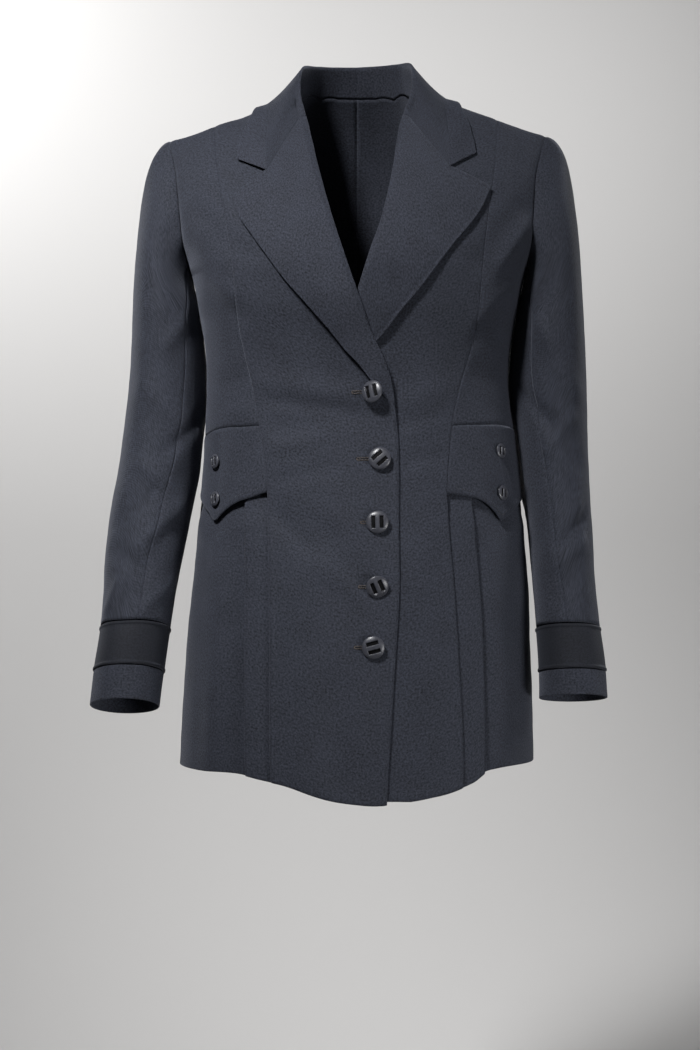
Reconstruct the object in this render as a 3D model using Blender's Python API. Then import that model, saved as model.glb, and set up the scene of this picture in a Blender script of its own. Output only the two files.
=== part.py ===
"""A tailored single-breasted jacket, hollow, in the form that it has when worn. Millimetres here, metres in the scene."""

import math

import bpy
import numpy as np

for old in list(bpy.data.objects):
    bpy.data.objects.remove(old)

CLOTH = 1.6  # thickness of one layer
SEAM = 0.25  # each piece stops this far from its seam line
ARMPIT = -186.0  # height of the underarm point, with the neck point at 0
SHOULDER = -42.0  # height of the shoulder seam at the sleeve
LEVEL = 228.0  # height of one level below the underarm
TOP_LEVEL = 0.985  # the shoulder seam leaves this much of a level free
RIDGE_DEPTH = 3.0  # the shoulder seam lies this far behind the middle
SIDE_SEAM = 93.0  # turn of the side seam, from the centre front
HEM = -700.0  # nominal height of the hem
HEM_EASE = 148.0  # the rows follow the curve of the hem within this height

# height, half width right and left, depth of front and back, squareness of the section
BODY = (
    (-730, 185, 185, 143, 144, 2.15),
    (-690, 183.5, 183.5, 142, 142, 2.15),
    (-640, 181.5, 182, 140, 139, 2.15),
    (-580, 177.5, 180.5, 137, 135, 2.15),
    (-520, 172.5, 178.5, 132, 128, 2.15),
    (-460, 166.5, 174, 125, 118, 2.15),
    (-400, 160.5, 169.5, 116, 106, 2.2),
    (-350, 157.5, 163, 109, 96, 2.25),
    (-300, 156, 157, 107, 91, 2.3),
    (-260, 158, 159, 114, 95, 2.3),
    (-220, 164, 166, 125, 105, 2.3),
    (-186, 171, 173, 128, 112, 2.3),
    (-150, 187, 189, 122, 114, 2.3),
    (-110, 198, 200, 113, 112, 2.3),
    (-70, 203, 205, 104, 106, 2.3),
    (-42, 205, 207, 98, 100, 2.3),
)
# distance from the middle, height of the shoulder line right and left, height that the back aims at
RIDGE = (
    (0, 14, 16, 72),
    (25, 13, 15, 65),
    (45, 10, 12, 42),
    (62, 3, 6, 12),
    (80, -4, 1, -2),
    (105, -12, -6, -9),
    (120, -18, -11, -14),
    (140, -24, -18, -20),
    (170, -35, -29, -32),
    (197, -43.5, -38, -41),
    (210, -48, -43, -46),
)
# height, the princess seam's distance from the middle, right and left
PRINCESS = (
    (-725, -84.5, 106.0),
    (-655, -87.4, 104.9),
    (-600, -87.5, 102.6),
    (-550, -87.7, 99.6),
    (-500, -88.2, 96.4),
    (-455, -89.0, 92.3),
    (-410, -90.3, 89.8),
    (-375, -93.5, 91.8),
    (-341, -98.7, 95.2),
    (-300, -107.0, 104.5),
    (-265, -115.0, 114.6),
    (-230, -121.3, 121.2),
    (-190, -124.6, 125.0),
    (-150, -130.3, 129.7),
    (-110, -137.3, 134.8),
    (-70, -144.0, 141.0),
    (-25, -148.5, 145.5),
)
# height, the front edge below the break and the roll line and neckline above it, right and left
EDGE = (
    (-725, 28.0, -8.0),
    (-673, 30.1, -5.0),
    (-634, 33.1, -4.0),
    (-590, 36.1, -3.0),
    (-555, 38.8, -3.0),
    (-516, 41.1, -3.0),
    (-437, 41.3, -3.0),
    (-387, 41.5, -3.0),
    (-342, 39.6, -3.0),
    (-307, 33.2, -3.5),
    (-276, 21.9, -4.5),
    (-250, 10.0, -4.0),
    (-220, -0.5, 1.4),
    (-195, -9.5, 8.5),
    (-170, -18.0, 16.4),
    (-145, -26.1, 25.4),
    (-113, -35.2, 33.6),
    (-82, -43.0, 39.7),
    (-50, -50.0, 44.5),
    (-26, -55.4, 50.0),
    (-14, -59.4, 57.0),
    (-2, -64.6, 62.8),
    (8, -67.5, 67.5),
)
# distance from the middle along X, height of the hem in front
HEM_LINE = (
    (-190, -688.0),
    (-157, -689.5),
    (-117, -690.0),
    (-100, -693.7),
    (-84, -697.0),
    (-66, -701.3),
    (-47, -707.8),
    (-27, -713.4),
    (-5, -716.7),
    (17, -718.5),
    (42, -716.0),
    (57, -713.9),
    (72, -711.3),
    (92, -707.2),
    (105, -702.8),
    (117, -697.6),
    (130, -688.5),
    (143, -686.0),
    (190, -684.0),
)
# turn, height of the waist band's top and lower edge, right and left
BAND = (
    (24, -342, -406.0, -344.0, -408.5),
    (33, -342, -409.0, -342.5, -410.5),
    (39, -342.5, -413.5, -341.5, -413.0),
    (45, -343, -417.0, -341.0, -416.5),
    (49, -343, -420.5, -340.8, -421.5),
    (53, -343, -425.5, -340.5, -429.0),
    (57, -343.5, -432.0, -340.0, -437.0),
    (60, -344, -437.0, -340.0, -434.0),
    (66, -345.5, -430.0, -340.5, -428.0),
    (76, -349, -420.0, -342.0, -419.5),
    (93, -351, -411.0, -344.0, -413.0),
)
# share of the armhole's height, turn of its front edge right and left, turn of its back edge
ARMHOLE = (
    (0.0, 93.0, 93.0, 93.0),
    (0.02, 86.0, 85.0, 99.5),
    (0.05, 81.5, 79.5, 104.0),
    (0.10, 76.5, 74.0, 109.0),
    (0.20, 70.5, 67.5, 114.0),
    (0.32, 67.0, 64.0, 116.5),
    (0.45, 66.0, 62.8, 117.0),
    (0.60, 67.5, 65.0, 115.5),
    (0.80, 69.5, 68.0, 112.5),
    (1.0, 70.3, 69.6, 109.9),
)
# start and end of a soft fold on the front as X and Z, its half width, its height (minus is a hollow)
FOLDS = (
    (-176, -150, -128, -205, 13, 3.0),
    (-168, -128, -112, -170, 12, -2.5),
    (172, -142, 140, -205, 14, 4.0),
    (166, -120, 122, -178, 13, -3.5),
    (150, -205, 112, -255, 14, 2.5),
    (-95, -300, 10, -315, 12, 2.0),
    (-80, -345, 8, -330, 13, -2.0),
    (52, -318, 100, -300, 12, 2.0),
    (50, -345, 105, -335, 12, -2.0),
    (-86, -420, -30, -455, 15, -2.0),
    (-30, -455, 15, -505, 15, -1.6),
    (60, -470, 62, -660, 22, 2.2),
    (-45, -500, -48, -690, 22, 2.2),
)
LOWER_ROWS = (
    -700, -686, -660, -632, -604, -576, -552, -526, -500, -474, -450, -428, -409, -387,
    -364, -341, -322, -304, -287, -270, -253, -237, -221, -203, -186,
)
UPPER_ROWS = (0.05, 0.10, 0.16, 0.23, 0.31, 0.39, 0.47, 0.55, 0.63, 0.71, 0.79, 0.87, 0.94, TOP_LEVEL)


def column(table, at, index):
    """Smooth value of a table's column, by its first one."""
    table = np.array(table, float)
    keys, values = table[:, 0], table[:, index]
    at = np.asarray(at, float)
    i = np.clip(np.searchsorted(keys, at) - 1, 0, len(keys) - 2)
    slope = np.gradient(values, keys)
    gap = keys[i + 1] - keys[i]
    s = np.clip((at - keys[i]) / gap, 0, 1)
    start = (2 * s**3 - 3 * s**2 + 1) * values[i] + (s**3 - 2 * s**2 + s) * gap * slope[i]
    return start + (3 * s**2 - 2 * s**3) * values[i + 1] + (s**3 - s**2) * gap * slope[i + 1]


def ease(value):
    """0 below 0, 1 above 1, smooth between."""
    value = np.clip(value, 0, 1)
    return value * value * (3 - 2 * value)


def ridge(x, back):
    """Height of the shoulder line, or the height that the back aims at behind the neck."""
    away = np.abs(x)
    side = np.where(x < 0, column(RIDGE, away, 1), column(RIDGE, away, 2))
    share = ease((away - 50) / 20)
    behind = column(RIDGE, away, 3) * (1 - share) + side * share
    return np.where(back, behind, side)


def rise(level):
    return np.sin(np.clip(level, 0, 1) * math.pi / 2)


def folds(x, z):
    """Height of the soft folds of the front at X, Z."""
    total = np.zeros(np.broadcast(x, z).shape)
    for x0, z0, x1, z1, width, height in FOLDS:
        run = np.array([x1 - x0, z1 - z0], float)
        along = np.clip(((x - x0) * run[0] + (z - z0) * run[1]) / (run @ run), 0, 1)
        near = np.hypot(x - x0 - along * run[0], z - z0 - along * run[1])
        total += height * np.exp(-((near / width) ** 2))
    return total


def skin(turn, level):
    """Outer face of the cloth. Turn is in degrees from the centre front, minus to the wearer's right."""
    turn, level = np.broadcast_arrays(np.asarray(turn, float), np.asarray(level, float))
    share = rise(level)
    height = np.where(level <= 0, ARMPIT + level * LEVEL, ARMPIT + (SHOULDER - ARMPIT) * share)
    angle = np.radians(turn)
    side, ahead = np.sin(angle), np.cos(angle)
    power = 2 / column(BODY, height, 5)
    half = np.where(side < 0, column(BODY, height, 1), column(BODY, height, 2))
    x = half * np.sign(side) * np.abs(side) ** power
    reach = np.abs(ahead) ** power
    back = ahead < 0
    z = np.where(level <= 0, height, ARMPIT + (ridge(x, back) - ARMPIT) * share)
    ahead_y = RIDGE_DEPTH * share - column(BODY, height, 3) * reach * (1 - share**1.8) ** 0.72
    behind_y = RIDGE_DEPTH * share + column(BODY, height, 4) * reach * (1 - share**2.2) ** 0.66
    y = np.where(back, behind_y, ahead_y - folds(x, z) * np.minimum(1, reach * 3))
    return np.stack([x, y, z], -1)


def normal(turn, level):
    level = np.asarray(level, float)
    top = np.minimum(level + 0.002, 1.0)
    across = skin(turn + 0.1, level) - skin(turn - 0.1, level)
    up = skin(turn, top) - skin(turn, level - 0.002)
    out = np.cross(across, up)
    return out / np.linalg.norm(out, axis=-1, keepdims=True)


def raised(turn, level, lift):
    return skin(turn, level) + normal(turn, level) * np.asarray(lift)[..., None]


def turn_at(x, level, back=False):
    """Turn of the point at this X and level."""
    level = np.asarray(level, float)
    height = np.where(level <= 0, ARMPIT + level * LEVEL, ARMPIT + (SHOULDER - ARMPIT) * rise(level))
    half = np.where(x < 0, column(BODY, height, 1), column(BODY, height, 2))
    share = np.clip(np.abs(x) / half, 0, 1) ** (column(BODY, height, 5) / 2)
    angle = np.degrees(np.arcsin(share))
    return np.sign(x) * np.where(back, 180 - angle, angle)


def level_at(x, z, back=False):
    share = np.clip((z - ARMPIT) / (ridge(x, back) - ARMPIT), 0, 1)
    return np.where(z <= ARMPIT, (z - ARMPIT) / LEVEL, np.arcsin(share) * 2 / math.pi)


def on_front(x, z, lift=0.0):
    """Point of the front that is seen at X, Z, moved out by the lift."""
    x, z = np.asarray(x, float), np.asarray(z, float)
    level = level_at(x, z)
    return raised(turn_at(x, level), level, lift)


def on_back(x, z, lift=0.0):
    x, z = np.asarray(x, float), np.asarray(z, float)
    level = level_at(x, z, True)
    return raised(turn_at(x, level, True), level, lift)


def seam_turn(table, index, level):
    """Turn of a seam on the front, of which the table gives X by height, at these levels."""
    level = np.asarray(level, float)
    x = column(table, ARMPIT + np.minimum(level, 0) * LEVEL, index)
    for _ in range(12):
        z = np.where(level <= 0, ARMPIT + level * LEVEL, ARMPIT + (ridge(x, False) - ARMPIT) * rise(level))
        x = column(table, z, index)
    return turn_at(x, level)


def moved(turn, level, distance):
    """The turn that is this many millimetres further round."""
    reach = np.linalg.norm(skin(turn + 0.05, level) - skin(turn - 0.05, level), axis=-1) / 0.1
    return turn + distance / reach


def front_rise(x, z):
    """The right front stands off where its lapel rolls over."""
    inside = x - column(EDGE, z, 1) + 60
    return 3.4 * ease(inside / 45) * ease((-185 - z) / 30) * ease((z + 352) / 40)


def front_sink(x, z):
    """The left front lies deeper where the right one laps over it."""
    return -3.9 * ease((72 - x) / 40) * ease((-165 - z) / 45)


FRONT_LIFT = {-1: front_rise, 1: front_sink}
SIDE_NAME = {-1: "right", 1: "left"}
SIDE_INDEX = {-1: 1, 1: 2}

CLOTH_COLOURS = {
    "front": (0.036, 0.039, 0.050),
    "side": (0.032, 0.035, 0.046),
    "band": (0.042, 0.046, 0.060),
    "skirt": (0.030, 0.033, 0.043),
    "back": (0.033, 0.036, 0.046),
    "collar": (0.050, 0.054, 0.072),
    "sleeve": (0.040, 0.043, 0.055),
    "cuff": (0.036, 0.039, 0.050),
    "cuff_band": (0.028, 0.030, 0.040),
    "button": (0.010, 0.010, 0.012),
}


def material(kind):
    if kind not in bpy.data.materials:
        made = bpy.data.materials.new(kind)
        made.use_nodes = True
        shader = made.node_tree.nodes["Principled BSDF"]
        shader.inputs["Base Color"].default_value = (*CLOTH_COLOURS[kind], 1)
        shader.inputs["Roughness"].default_value = 0.25 if kind == "button" else 0.85
    return bpy.data.materials[kind]


def add_mesh(name, kind, points, faces):
    """A closed mesh as one object, facing out."""
    points, faces = np.asarray(points, float), np.asarray(faces)
    corners = points[faces]
    if np.einsum("ij,ij->i", corners[:, 0], np.cross(corners[:, 1], corners[:, 2])).sum() < 0:
        faces = faces[:, ::-1]
    mesh = bpy.data.meshes.new(name)
    mesh.from_pydata((points * 0.001).tolist(), [], faces.tolist())
    mesh.materials.append(material(kind))
    made = bpy.data.objects.new(name, mesh)
    bpy.context.scene.collection.objects.link(made)
    return made


def wall(name, kind, outer, inner, around=False):
    """Joins two grids of the same size, rows by columns, into a thin closed wall."""
    rows, columns = outer.shape[:2]
    count = rows * columns
    faces, border = [], []
    last = columns if around else columns - 1
    for row in range(rows - 1):
        for place in range(last):
            a, b = row * columns + place, row * columns + (place + 1) % columns
            c, d = b + columns, a + columns
            faces += [(a, b, c), (a, c, d), (count + a, count + c, count + b), (count + a, count + d, count + c)]
    for place in range(last):
        after = (place + 1) % columns
        border += [(place, after), (count - columns + after, count - columns + place)]
    if not around:
        for row in range(rows - 1):
            start, end = row * columns, (row + 1) * columns
            border += [(start + columns - 1, end + columns - 1), (end, start)]
    for a, b in border:
        faces += [(b, a, count + a), (b, count + a, count + b)]
    add_mesh(name, kind, np.concatenate([outer.reshape(-1, 3), inner.reshape(-1, 3)]), faces)


def panel(name, kind, turns, levels, lift):
    """A wall on the torso's form, cut back at the shoulder seam."""
    outer, inner = raised(turns, levels, lift), raised(turns, levels, lift - CLOTH)
    behind = np.abs(turns) > 100
    for face in (outer, inner):
        clear = np.where(behind, np.maximum(face[..., 1], RIDGE_DEPTH + SEAM), np.minimum(face[..., 1], RIDGE_DEPTH - SEAM))
        face[..., 1] = np.where(levels > 0.9, clear, face[..., 1])
    wall(name, kind, outer, inner)


def grid_normals(points, around=False):
    """Unit normals of a grid of points, from its neighbours."""
    if around:
        across = np.roll(points, -1, 1) - np.roll(points, 1, 1)
    else:
        across = np.gradient(points, axis=1)
    out = np.cross(across, np.gradient(points, axis=0))
    return out / np.linalg.norm(out, axis=-1, keepdims=True)


def thick(name, kind, middle):
    """A wall with half of the cloth on each side of the grid."""
    out = grid_normals(middle) * (CLOTH / 2)
    wall(name, kind, middle + out, middle - out)


def levels_of(heights):
    return (np.array(heights, float) - ARMPIT) / LEVEL


def hemmed(turns, levels, hem_of):
    """Levels with the lowest rows moved to the curve of the hem."""
    at = skin(turns, levels)
    share = np.clip((HEM + HEM_EASE - at[..., 2]) / HEM_EASE, 0, 1)
    return levels + share * (hem_of(at[..., 0]) - HEM) / LEVEL


def front(side):
    index = SIDE_INDEX[side]
    rows = np.concatenate([levels_of(LOWER_ROWS), UPPER_ROWS])
    edge = seam_turn(EDGE, index, rows)
    seam = moved(seam_turn(PRINCESS, index, rows), rows, -side * SEAM)
    share = np.linspace(0, 1, 8)
    turns = edge[:, None] + (seam - edge)[:, None] * share
    levels = np.repeat(rows[:, None], len(share), 1)
    hem = (lambda x: column(HEM_LINE, x, 1)) if side < 0 else (lambda x: np.maximum(column(HEM_LINE, x, 1), -714.5))
    levels = hemmed(turns, levels, hem)
    at = skin(turns, levels)
    panel("front_" + SIDE_NAME[side], "front", turns, levels, FRONT_LIFT[side](at[..., 0], at[..., 2]))


def band_level(side, turns, which):
    """Level of the waist band's top (0) or lower edge (1)."""
    return levels_of(column(BAND, np.abs(turns), (1 if side < 0 else 3) + which))


def side_front(side):
    index = SIDE_INDEX[side]
    low = float(band_level(side, seam_turn(PRINCESS, index, -0.68), 0))
    rows = np.concatenate([levels_of(LOWER_ROWS[16:]), UPPER_ROWS])
    rows = np.concatenate([[low], rows[rows > low + 0.01]])
    start = moved(seam_turn(PRINCESS, index, rows), rows, side * SEAM)
    end = side * np.where(rows <= 0, SIDE_SEAM, column(ARMHOLE, rows, index))
    end = np.where(rows <= 0, moved(end, rows, -side * SEAM), end)
    share = np.linspace(0, 1, 6)
    turns = start[:, None] + (end - start)[:, None] * share
    levels = np.repeat(rows[:, None], len(share), 1)
    bottom = band_level(side, turns, 0) + 3 * SEAM / LEVEL
    down = np.clip((-0.35 - levels) / (-0.35 - low), 0, 1)
    levels = levels + down * (bottom - low)
    panel("side_front_" + SIDE_NAME[side], "side", turns, levels, np.zeros(turns.shape))


def waist_band(side):
    index = SIDE_INDEX[side]
    tip = 60.0 if side < 0 else 57.0
    shares = np.array([0, 0.34, 0.68, 1])
    top = band_level(side, side * 40.0, 0)
    rows = []
    for share in shares:
        level = top - share * 0.30
        start = abs(float(moved(seam_turn(PRINCESS, index, level), level, side * SEAM)))
        end = abs(float(moved(side * SIDE_SEAM, level, -side * SEAM)))
        rows.append(side * np.concatenate([np.linspace(start, tip, 8), np.linspace(tip, end, 6)[1:]]))
    turns = np.array(rows)
    upper, lower = band_level(side, turns, 0), band_level(side, turns, 1)
    levels = upper + (lower - upper) * shares[:, None]
    panel("waist_band_" + SIDE_NAME[side], "band", turns, levels, np.full(turns.shape, 0.5))


# distance from the princess seam, depth of the middle of the cloth: the pleat's layers, top one towards the centre
PLEAT = (
    (-12, -3.7), (-1, -3.6), (6, -2.9), (14, -1.7), (22, -1.2), (27.6, -1.2), (28.9, -1.5), (29.4, -2.3), (28.9, -3.1),
    (27.6, -3.4), (17.2, -3.6), (15.9, -3.9), (15.4, -4.7), (15.9, -5.5), (17.2, -5.8), (31, -5.8),
)


def skirt(side):
    index = SIDE_INDEX[side]
    name = "pleated_skirt_" + SIDE_NAME[side]
    shares = np.array([0, 0.03, 0.12, 0.22, 0.33, 0.44, 0.55, 0.66, 0.76, 0.85, 0.93, 1.0])
    middle = []
    for share in shares:
        level = levels_of([-695 + share * (695 - 415)])[0]
        start = float(seam_turn(PRINCESS, index, level))
        stretch = 1.0 if side < 0 else (0.9 + 0.15 * min(1.0, share * 2))
        turns = [float(moved(start, level, side * d * stretch)) for d, _ in PLEAT]
        depths = [depth for _, depth in PLEAT]
        end = side * SIDE_SEAM - side * 0.1
        more = turns[-1] + (end - turns[-1]) * np.array([0.16, 0.34, 0.54, 0.76, 1.0])
        turns = np.concatenate([turns, more])
        under = ease((share - 0.86) / 0.1)
        side_depths = np.array([-4.3, -2.4, -1.2, -0.8, -0.8]) * (1 - under) - under * np.array([6.2, 5.0, 4.2, 3.8, 3.8])
        depths = np.concatenate([np.array(depths) - 2.8 * under, side_depths])
        at = skin(turns, level)
        low = levels_of(np.where(at[:, 0] * side > 0, column(HEM_LINE, at[:, 0], 1), 0))
        high = band_level(side, turns, 1) + 10 / LEVEL
        levels = low + (high - low) * share
        middle.append(raised(turns, levels, depths))
    thick(name, "skirt", np.array(middle))


BACK_COLUMNS = (180, 176.1, 171.2, 167.3, 164.4)
# turn, level of the back's neckline and shoulder seam
BACK_TOP = ((90, TOP_LEVEL), (164.4, TOP_LEVEL), (167.3, 0.76), (171.2, 0.62), (176.1, 0.565), (180, 0.555))


def back(side):
    rows = np.concatenate([levels_of(LOWER_ROWS[::2]), UPPER_ROWS])
    end = np.where(rows <= 0, SIDE_SEAM, column(ARMHOLE, rows, 3))
    end = np.where(rows <= 0, np.abs(moved(side * end, rows, side * SEAM)), end)
    centre = np.degrees(np.arcsin((SEAM / 170) ** 1.15))
    inner = np.array(BACK_COLUMNS, float) - np.array([centre, 0, 0, 0, 0])
    turns = np.array([np.concatenate([inner, np.linspace(164.4, e, 6)[1:]]) for e in end])
    top = np.interp(turns, [row[0] for row in BACK_TOP], [row[1] for row in BACK_TOP])
    levels = np.where(rows[:, None] > 0, rows[:, None] * top / TOP_LEVEL, rows[:, None])
    levels = hemmed(turns, levels, lambda x: np.full(x.shape, -687.0))
    panel("back_" + SIDE_NAME[side], "back", side * turns, levels, np.zeros(turns.shape))


# points of the lapel's free edge as X and Z, from its tip down to the break
LAPEL_EDGE = {
    -1: ((-125.6, -113.8), (-114.9, -136.8), (-101.9, -155), (-86.7, -176.6), (-69.2, -199.5), (-46.9, -224.3),
         (-27.1, -246.2), (-12.3, -265.7), (1.6, -280.5), (13.6, -297.7), (32.5, -321)),
    1: ((133.0, -101.7), (123.2, -123.8), (110.5, -142.4), (97.1, -158.5), (84.9, -174.2), (71.9, -191.5),
        (57.0, -211.5), (42.2, -229.2), (27.4, -248.7), (15.5, -262.5), (3, -282)),
}
GORGE_START = {-1: (-55.4, -26.0), 1: (50.0, -26.0)}
GORGE_END = {-1: (-89.5, -86.5), 1: (91.0, -82.0)}
COLLAR_CORNER = {-1: (-120.5, -72.0), 1: (119.5, -65.0)}
BREAK = {-1: -322.0, 1: -252.0}
# distance past the roll line, height above the front: how the lapel's cloth turns over
ROLL = ((1.5, -0.8), (2.7, -0.4), (3.3, 0.8), (3.0, 2.2), (1.4, 3.1))
ACROSS = (0.05, 0.18, 0.32, 0.46, 0.594, 0.73, 0.87, 1.0)


def along(points, shares):
    """Points at these shares of the length of a smooth line."""
    points = np.array(points, float)
    length = np.concatenate([[0], np.cumsum(np.linalg.norm(np.diff(points, axis=0), axis=1))])
    table = np.column_stack([length / length[-1], points])
    return np.stack([column(table, shares, i + 1) for i in range(points.shape[1])], -1)


def gorge_path(side, corner, share):
    """X and Z along the end of the lapel or the collar: the gorge seam, then the notch."""
    start, end = np.array(GORGE_START[side]), np.array(GORGE_END[side])
    turn = ACROSS[4]
    if share <= turn:
        return start + (end - start) * share / turn
    return end + (np.array(corner) - end) * (share - turn) / (1 - turn)


def lapel_column(side, share):
    """The middle of the lapel's cloth across it: from the roll line to the free edge."""
    index = SIDE_INDEX[side]
    z = BREAK[side] + (GORGE_START[side][1] - BREAK[side]) * share
    start = np.array([float(column(EDGE, z, index)), z])
    end = along(LAPEL_EDGE[side][::-1], share)
    lean = float(column(EDGE, z + 2, index) - column(EDGE, z - 2, index)) / 4
    toward = np.array([1, -lean]) * -side / math.hypot(1, lean)
    spots = [start + toward * past for past, _ in ROLL]
    lifts = [lift for _, lift in ROLL]
    tip = np.array(LAPEL_EDGE[side][0])
    for across in ACROSS:
        kink = gorge_path(side, tip, across) - (np.array(GORGE_START[side]) * (1 - across) + tip * across)
        spots.append(start + (end - start) * across + kink * share**5)
        lifts.append(3.3 + 0.9 * math.sin(math.pi * across) * (0.4 + 0.6 * share))
    spots = np.array(spots)
    lifts = np.array(lifts) + FRONT_LIFT[side](spots[:, 0], spots[:, 1])
    return on_front(spots[:, 0], spots[:, 1], lifts)


def lapel(side):
    shares = np.linspace(0, 1, 11) ** 0.9
    middle = np.array([lapel_column(side, share) for share in shares])
    thick("lapel_" + SIDE_NAME[side], "collar", middle)


# share from the centre back, then X, Y, Z of the neck seam, the fold and the free edge of the collar
COLLAR = (
    (0.00, 0, 67, 10, 0, 54, 45, 0, 79, -9),
    (0.14, 20, 63, 9, 19, 51, 45, 31, 74, -9),
    (0.28, 40, 52, 6.5, 37, 40, 44, 61, 52, -8),
    (0.40, 55, 34, 4, 50, 23, 42, 85, 27, -6),
    (0.52, 65.5, 6, 5, 56, 5, 36, 103, 4, -8),
    (0.62, 64, -8, -3, 57.5, -8, 26, 108.5, -14, -17),
    (0.72, 61.5, -17, -9, 57.5, -18, 12, 113, -27, -31),
    (0.82, 58.5, -27, -17, 55.5, -29, -3, 116.5, -40, -47),
    (0.91, 56.5, -33, -22, 52.5, -38, -14, 119, -50, -60),
    (1.00, 55, -38, -27, 50.5, -46, -24, 120.5, -60, -71),
)
NECK_X = (0, 20, 40, 55, 66)  # distance from the middle of the back's columns at the neck
COLLAR_SHARES = (0, 0.14, 0.28, 0.40, 0.47, 0.54, 0.62, 0.70, 0.78, 0.85, 0.91, 0.96, 1)
SHOULDER_LEAN = 0.027  # the left shoulder is higher


def collar_column(side, share):
    row = np.array([float(column(COLLAR, share, i)) for i in range(1, 10)])
    neck, fold, edge = row[:3], row[3:6], row[6:]
    for point in (fold, edge):
        point[0] *= side
        point[2] += SHOULDER_LEAN * point[0]
    if share < 0.45:
        level = np.interp(neck[0], NECK_X, [top[1] for top in BACK_TOP[::-1]][: len(NECK_X)])
        neck = raised(turn_at(side * max(neck[0], 0.01), level, True), level, -0.8)
    else:
        neck = on_front(float(column(EDGE, neck[2], SIDE_INDEX[side])), neck[2], -0.8)
    up = (fold - neck) / np.linalg.norm(fold - neck)
    out = edge - fold
    out = out / np.linalg.norm(out)
    small = 0.6 + 0.4 * ease((1 - share) * 4)
    base = neck + up * (1.4 + 0.9 * ease((share - 0.2) / 0.15) * ease((0.95 - share) / 0.2))
    points = [base, base + (fold - base) * 0.5, fold - up * 3.0 * small, fold + out * 1.2 * small]
    start = fold + out * 4.2 * small - up * 1.2 * small
    points.append(start)
    for across in ACROSS:
        spot = start + (edge - start) * across
        spot[2] -= 4.0 * math.sin(math.pi * across) * ease((1 - share) * 2.5)
        points.append(spot)
    points = np.array(points)
    points[4:] = clear_of_form(points[4:], 3.6)
    return points


def clear_of_form(points, lift):
    """Points moved out until they are this far from the torso's form."""
    spots, out = FORM
    for _ in range(2):
        nearest = np.argmin(((points[:, None] - spots) ** 2).sum(-1), axis=1)
        height = ((points - spots[nearest]) * out[nearest]).sum(-1)
        points = points + out[nearest] * np.maximum(lift - height, 0)[:, None]
    return points


def form_sample():
    turns = np.linspace(-179.5, 179.5, 240)
    levels = np.linspace(0.3, 0.995, 90)
    turns, levels = np.meshgrid(turns, levels)
    return skin(turns, levels).reshape(-1, 3), normal(turns, levels).reshape(-1, 3)


FORM = form_sample()


def collar():
    middle = []
    for side in (-1, 1):
        end = lapel_column(side, 1.0)
        corner = []
        for across in ACROSS[5:]:
            x, z = gorge_path(side, COLLAR_CORNER[side], across)
            corner.append(on_front(x, z, 3.6))
        end = np.concatenate([end[: 5 + 5], corner])
        end[:10] += np.array([side * 0.5, -0.3, 0.8])
        change = end - collar_column(side, 1.0)
        half = []
        for share in COLLAR_SHARES:
            weight = ease((share - 0.45) / 0.55) ** 1.5
            half.append(collar_column(side, share) + change * weight)
        middle += half[::-1] if side < 0 else half[1:]
    thick("collar", "collar", np.array(middle))


# height, middle X, half width in X, middle Y, half depth in Y, tilt of the ring: right sleeve
SLEEVE_RIGHT = (
    (-640, -238.5, 35.0, -52, 44.0, 14),
    (-593, -233.5, 35.7, -44, 44.5, 14),
    (-548, -227.5, 35.5, -34, 45.5, 13),
    (-512, -224.0, 37.0, -25, 47.0, 12),
    (-484, -221.5, 39.5, -18, 48.5, 11),
    (-458, -218.0, 41.0, -11, 50.0, 9),
    (-421, -212.3, 42.0, -4, 52.0, 7),
    (-387, -206.0, 42.5, 2, 53.5, 5),
    (-324, -200.5, 39.8, 7, 55.5, 1),
    (-281, -198.8, 37.5, 7, 57.5, 0),
    (-225, -200.5, 33.0, 5, 60.0, 0),
)
SLEEVE_LEFT = (
    (-640, 221.0, 35.0, -52, 44.0, 9),
    (-583, 219.5, 33.8, -42, 44.5, 9),
    (-538, 215.5, 32.3, -32, 45.5, 9),
    (-499, 213.0, 32.2, -22, 47.0, 8),
    (-458, 211.0, 33.2, -11, 50.0, 7),
    (-421, 208.3, 33.5, -4, 52.0, 6),
    (-387, 206.2, 34.8, 2, 53.5, 4),
    (-324, 202.5, 37.2, 7, 55.5, 1),
    (-281, 201.0, 37.6, 7, 57.5, 0),
    (-225, 203.3, 32.6, 5, 60.0, 0),
)
SLEEVE = {-1: SLEEVE_RIGHT, 1: SLEEVE_LEFT}
HEAD_END = -225.0
HEAD_ROWS = (0, 0.07, 0.16, 0.27, 0.4, 0.54, 0.69, 0.85)
SLEEVE_ROWS = (-225, -255, -285, -313, -340, -367, -394, -420, -446, -472, -498, -522, -546.6)
# share of the sleeve's length, angle of the front seam and of the back seam
SLEEVE_SEAMS = ((0, 148, 243), (0.3, 140, 250), (0.65, 118, 268), (1, 98, 282))
CUFF_BAND = (-547.4, -592.6)
CUFF_HEM = {-1: -626.0, 1: -618.0}
HEAD_RAISE = {-1: 0.24, 1: 0.10}  # how much the top of the sleeve stands up from the shoulder
HEAD_REACH = {-1: 27.0, 1: 20.0}  # how far the top of the sleeve runs outward before it turns down
HEAD_SQUARE = {-1: 0.10, 1: 0.33}  # how square its corner is
# start and end of a soft fold on the sleeve as angle and height, half width, height of the fold
SLEEVE_FOLDS = {
    -1: ((60, -300, 140, -350, 14, 2.5), (130, -395, 60, -440, 14, -2.5), (125, -455, 80, -545, 16, -3.0)),
    1: ((120, -240, 60, -300, 14, 2.5), (110, -330, 60, -380, 14, -2.5), (60, -430, 120, -475, 13, 2.5)),
}


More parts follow.
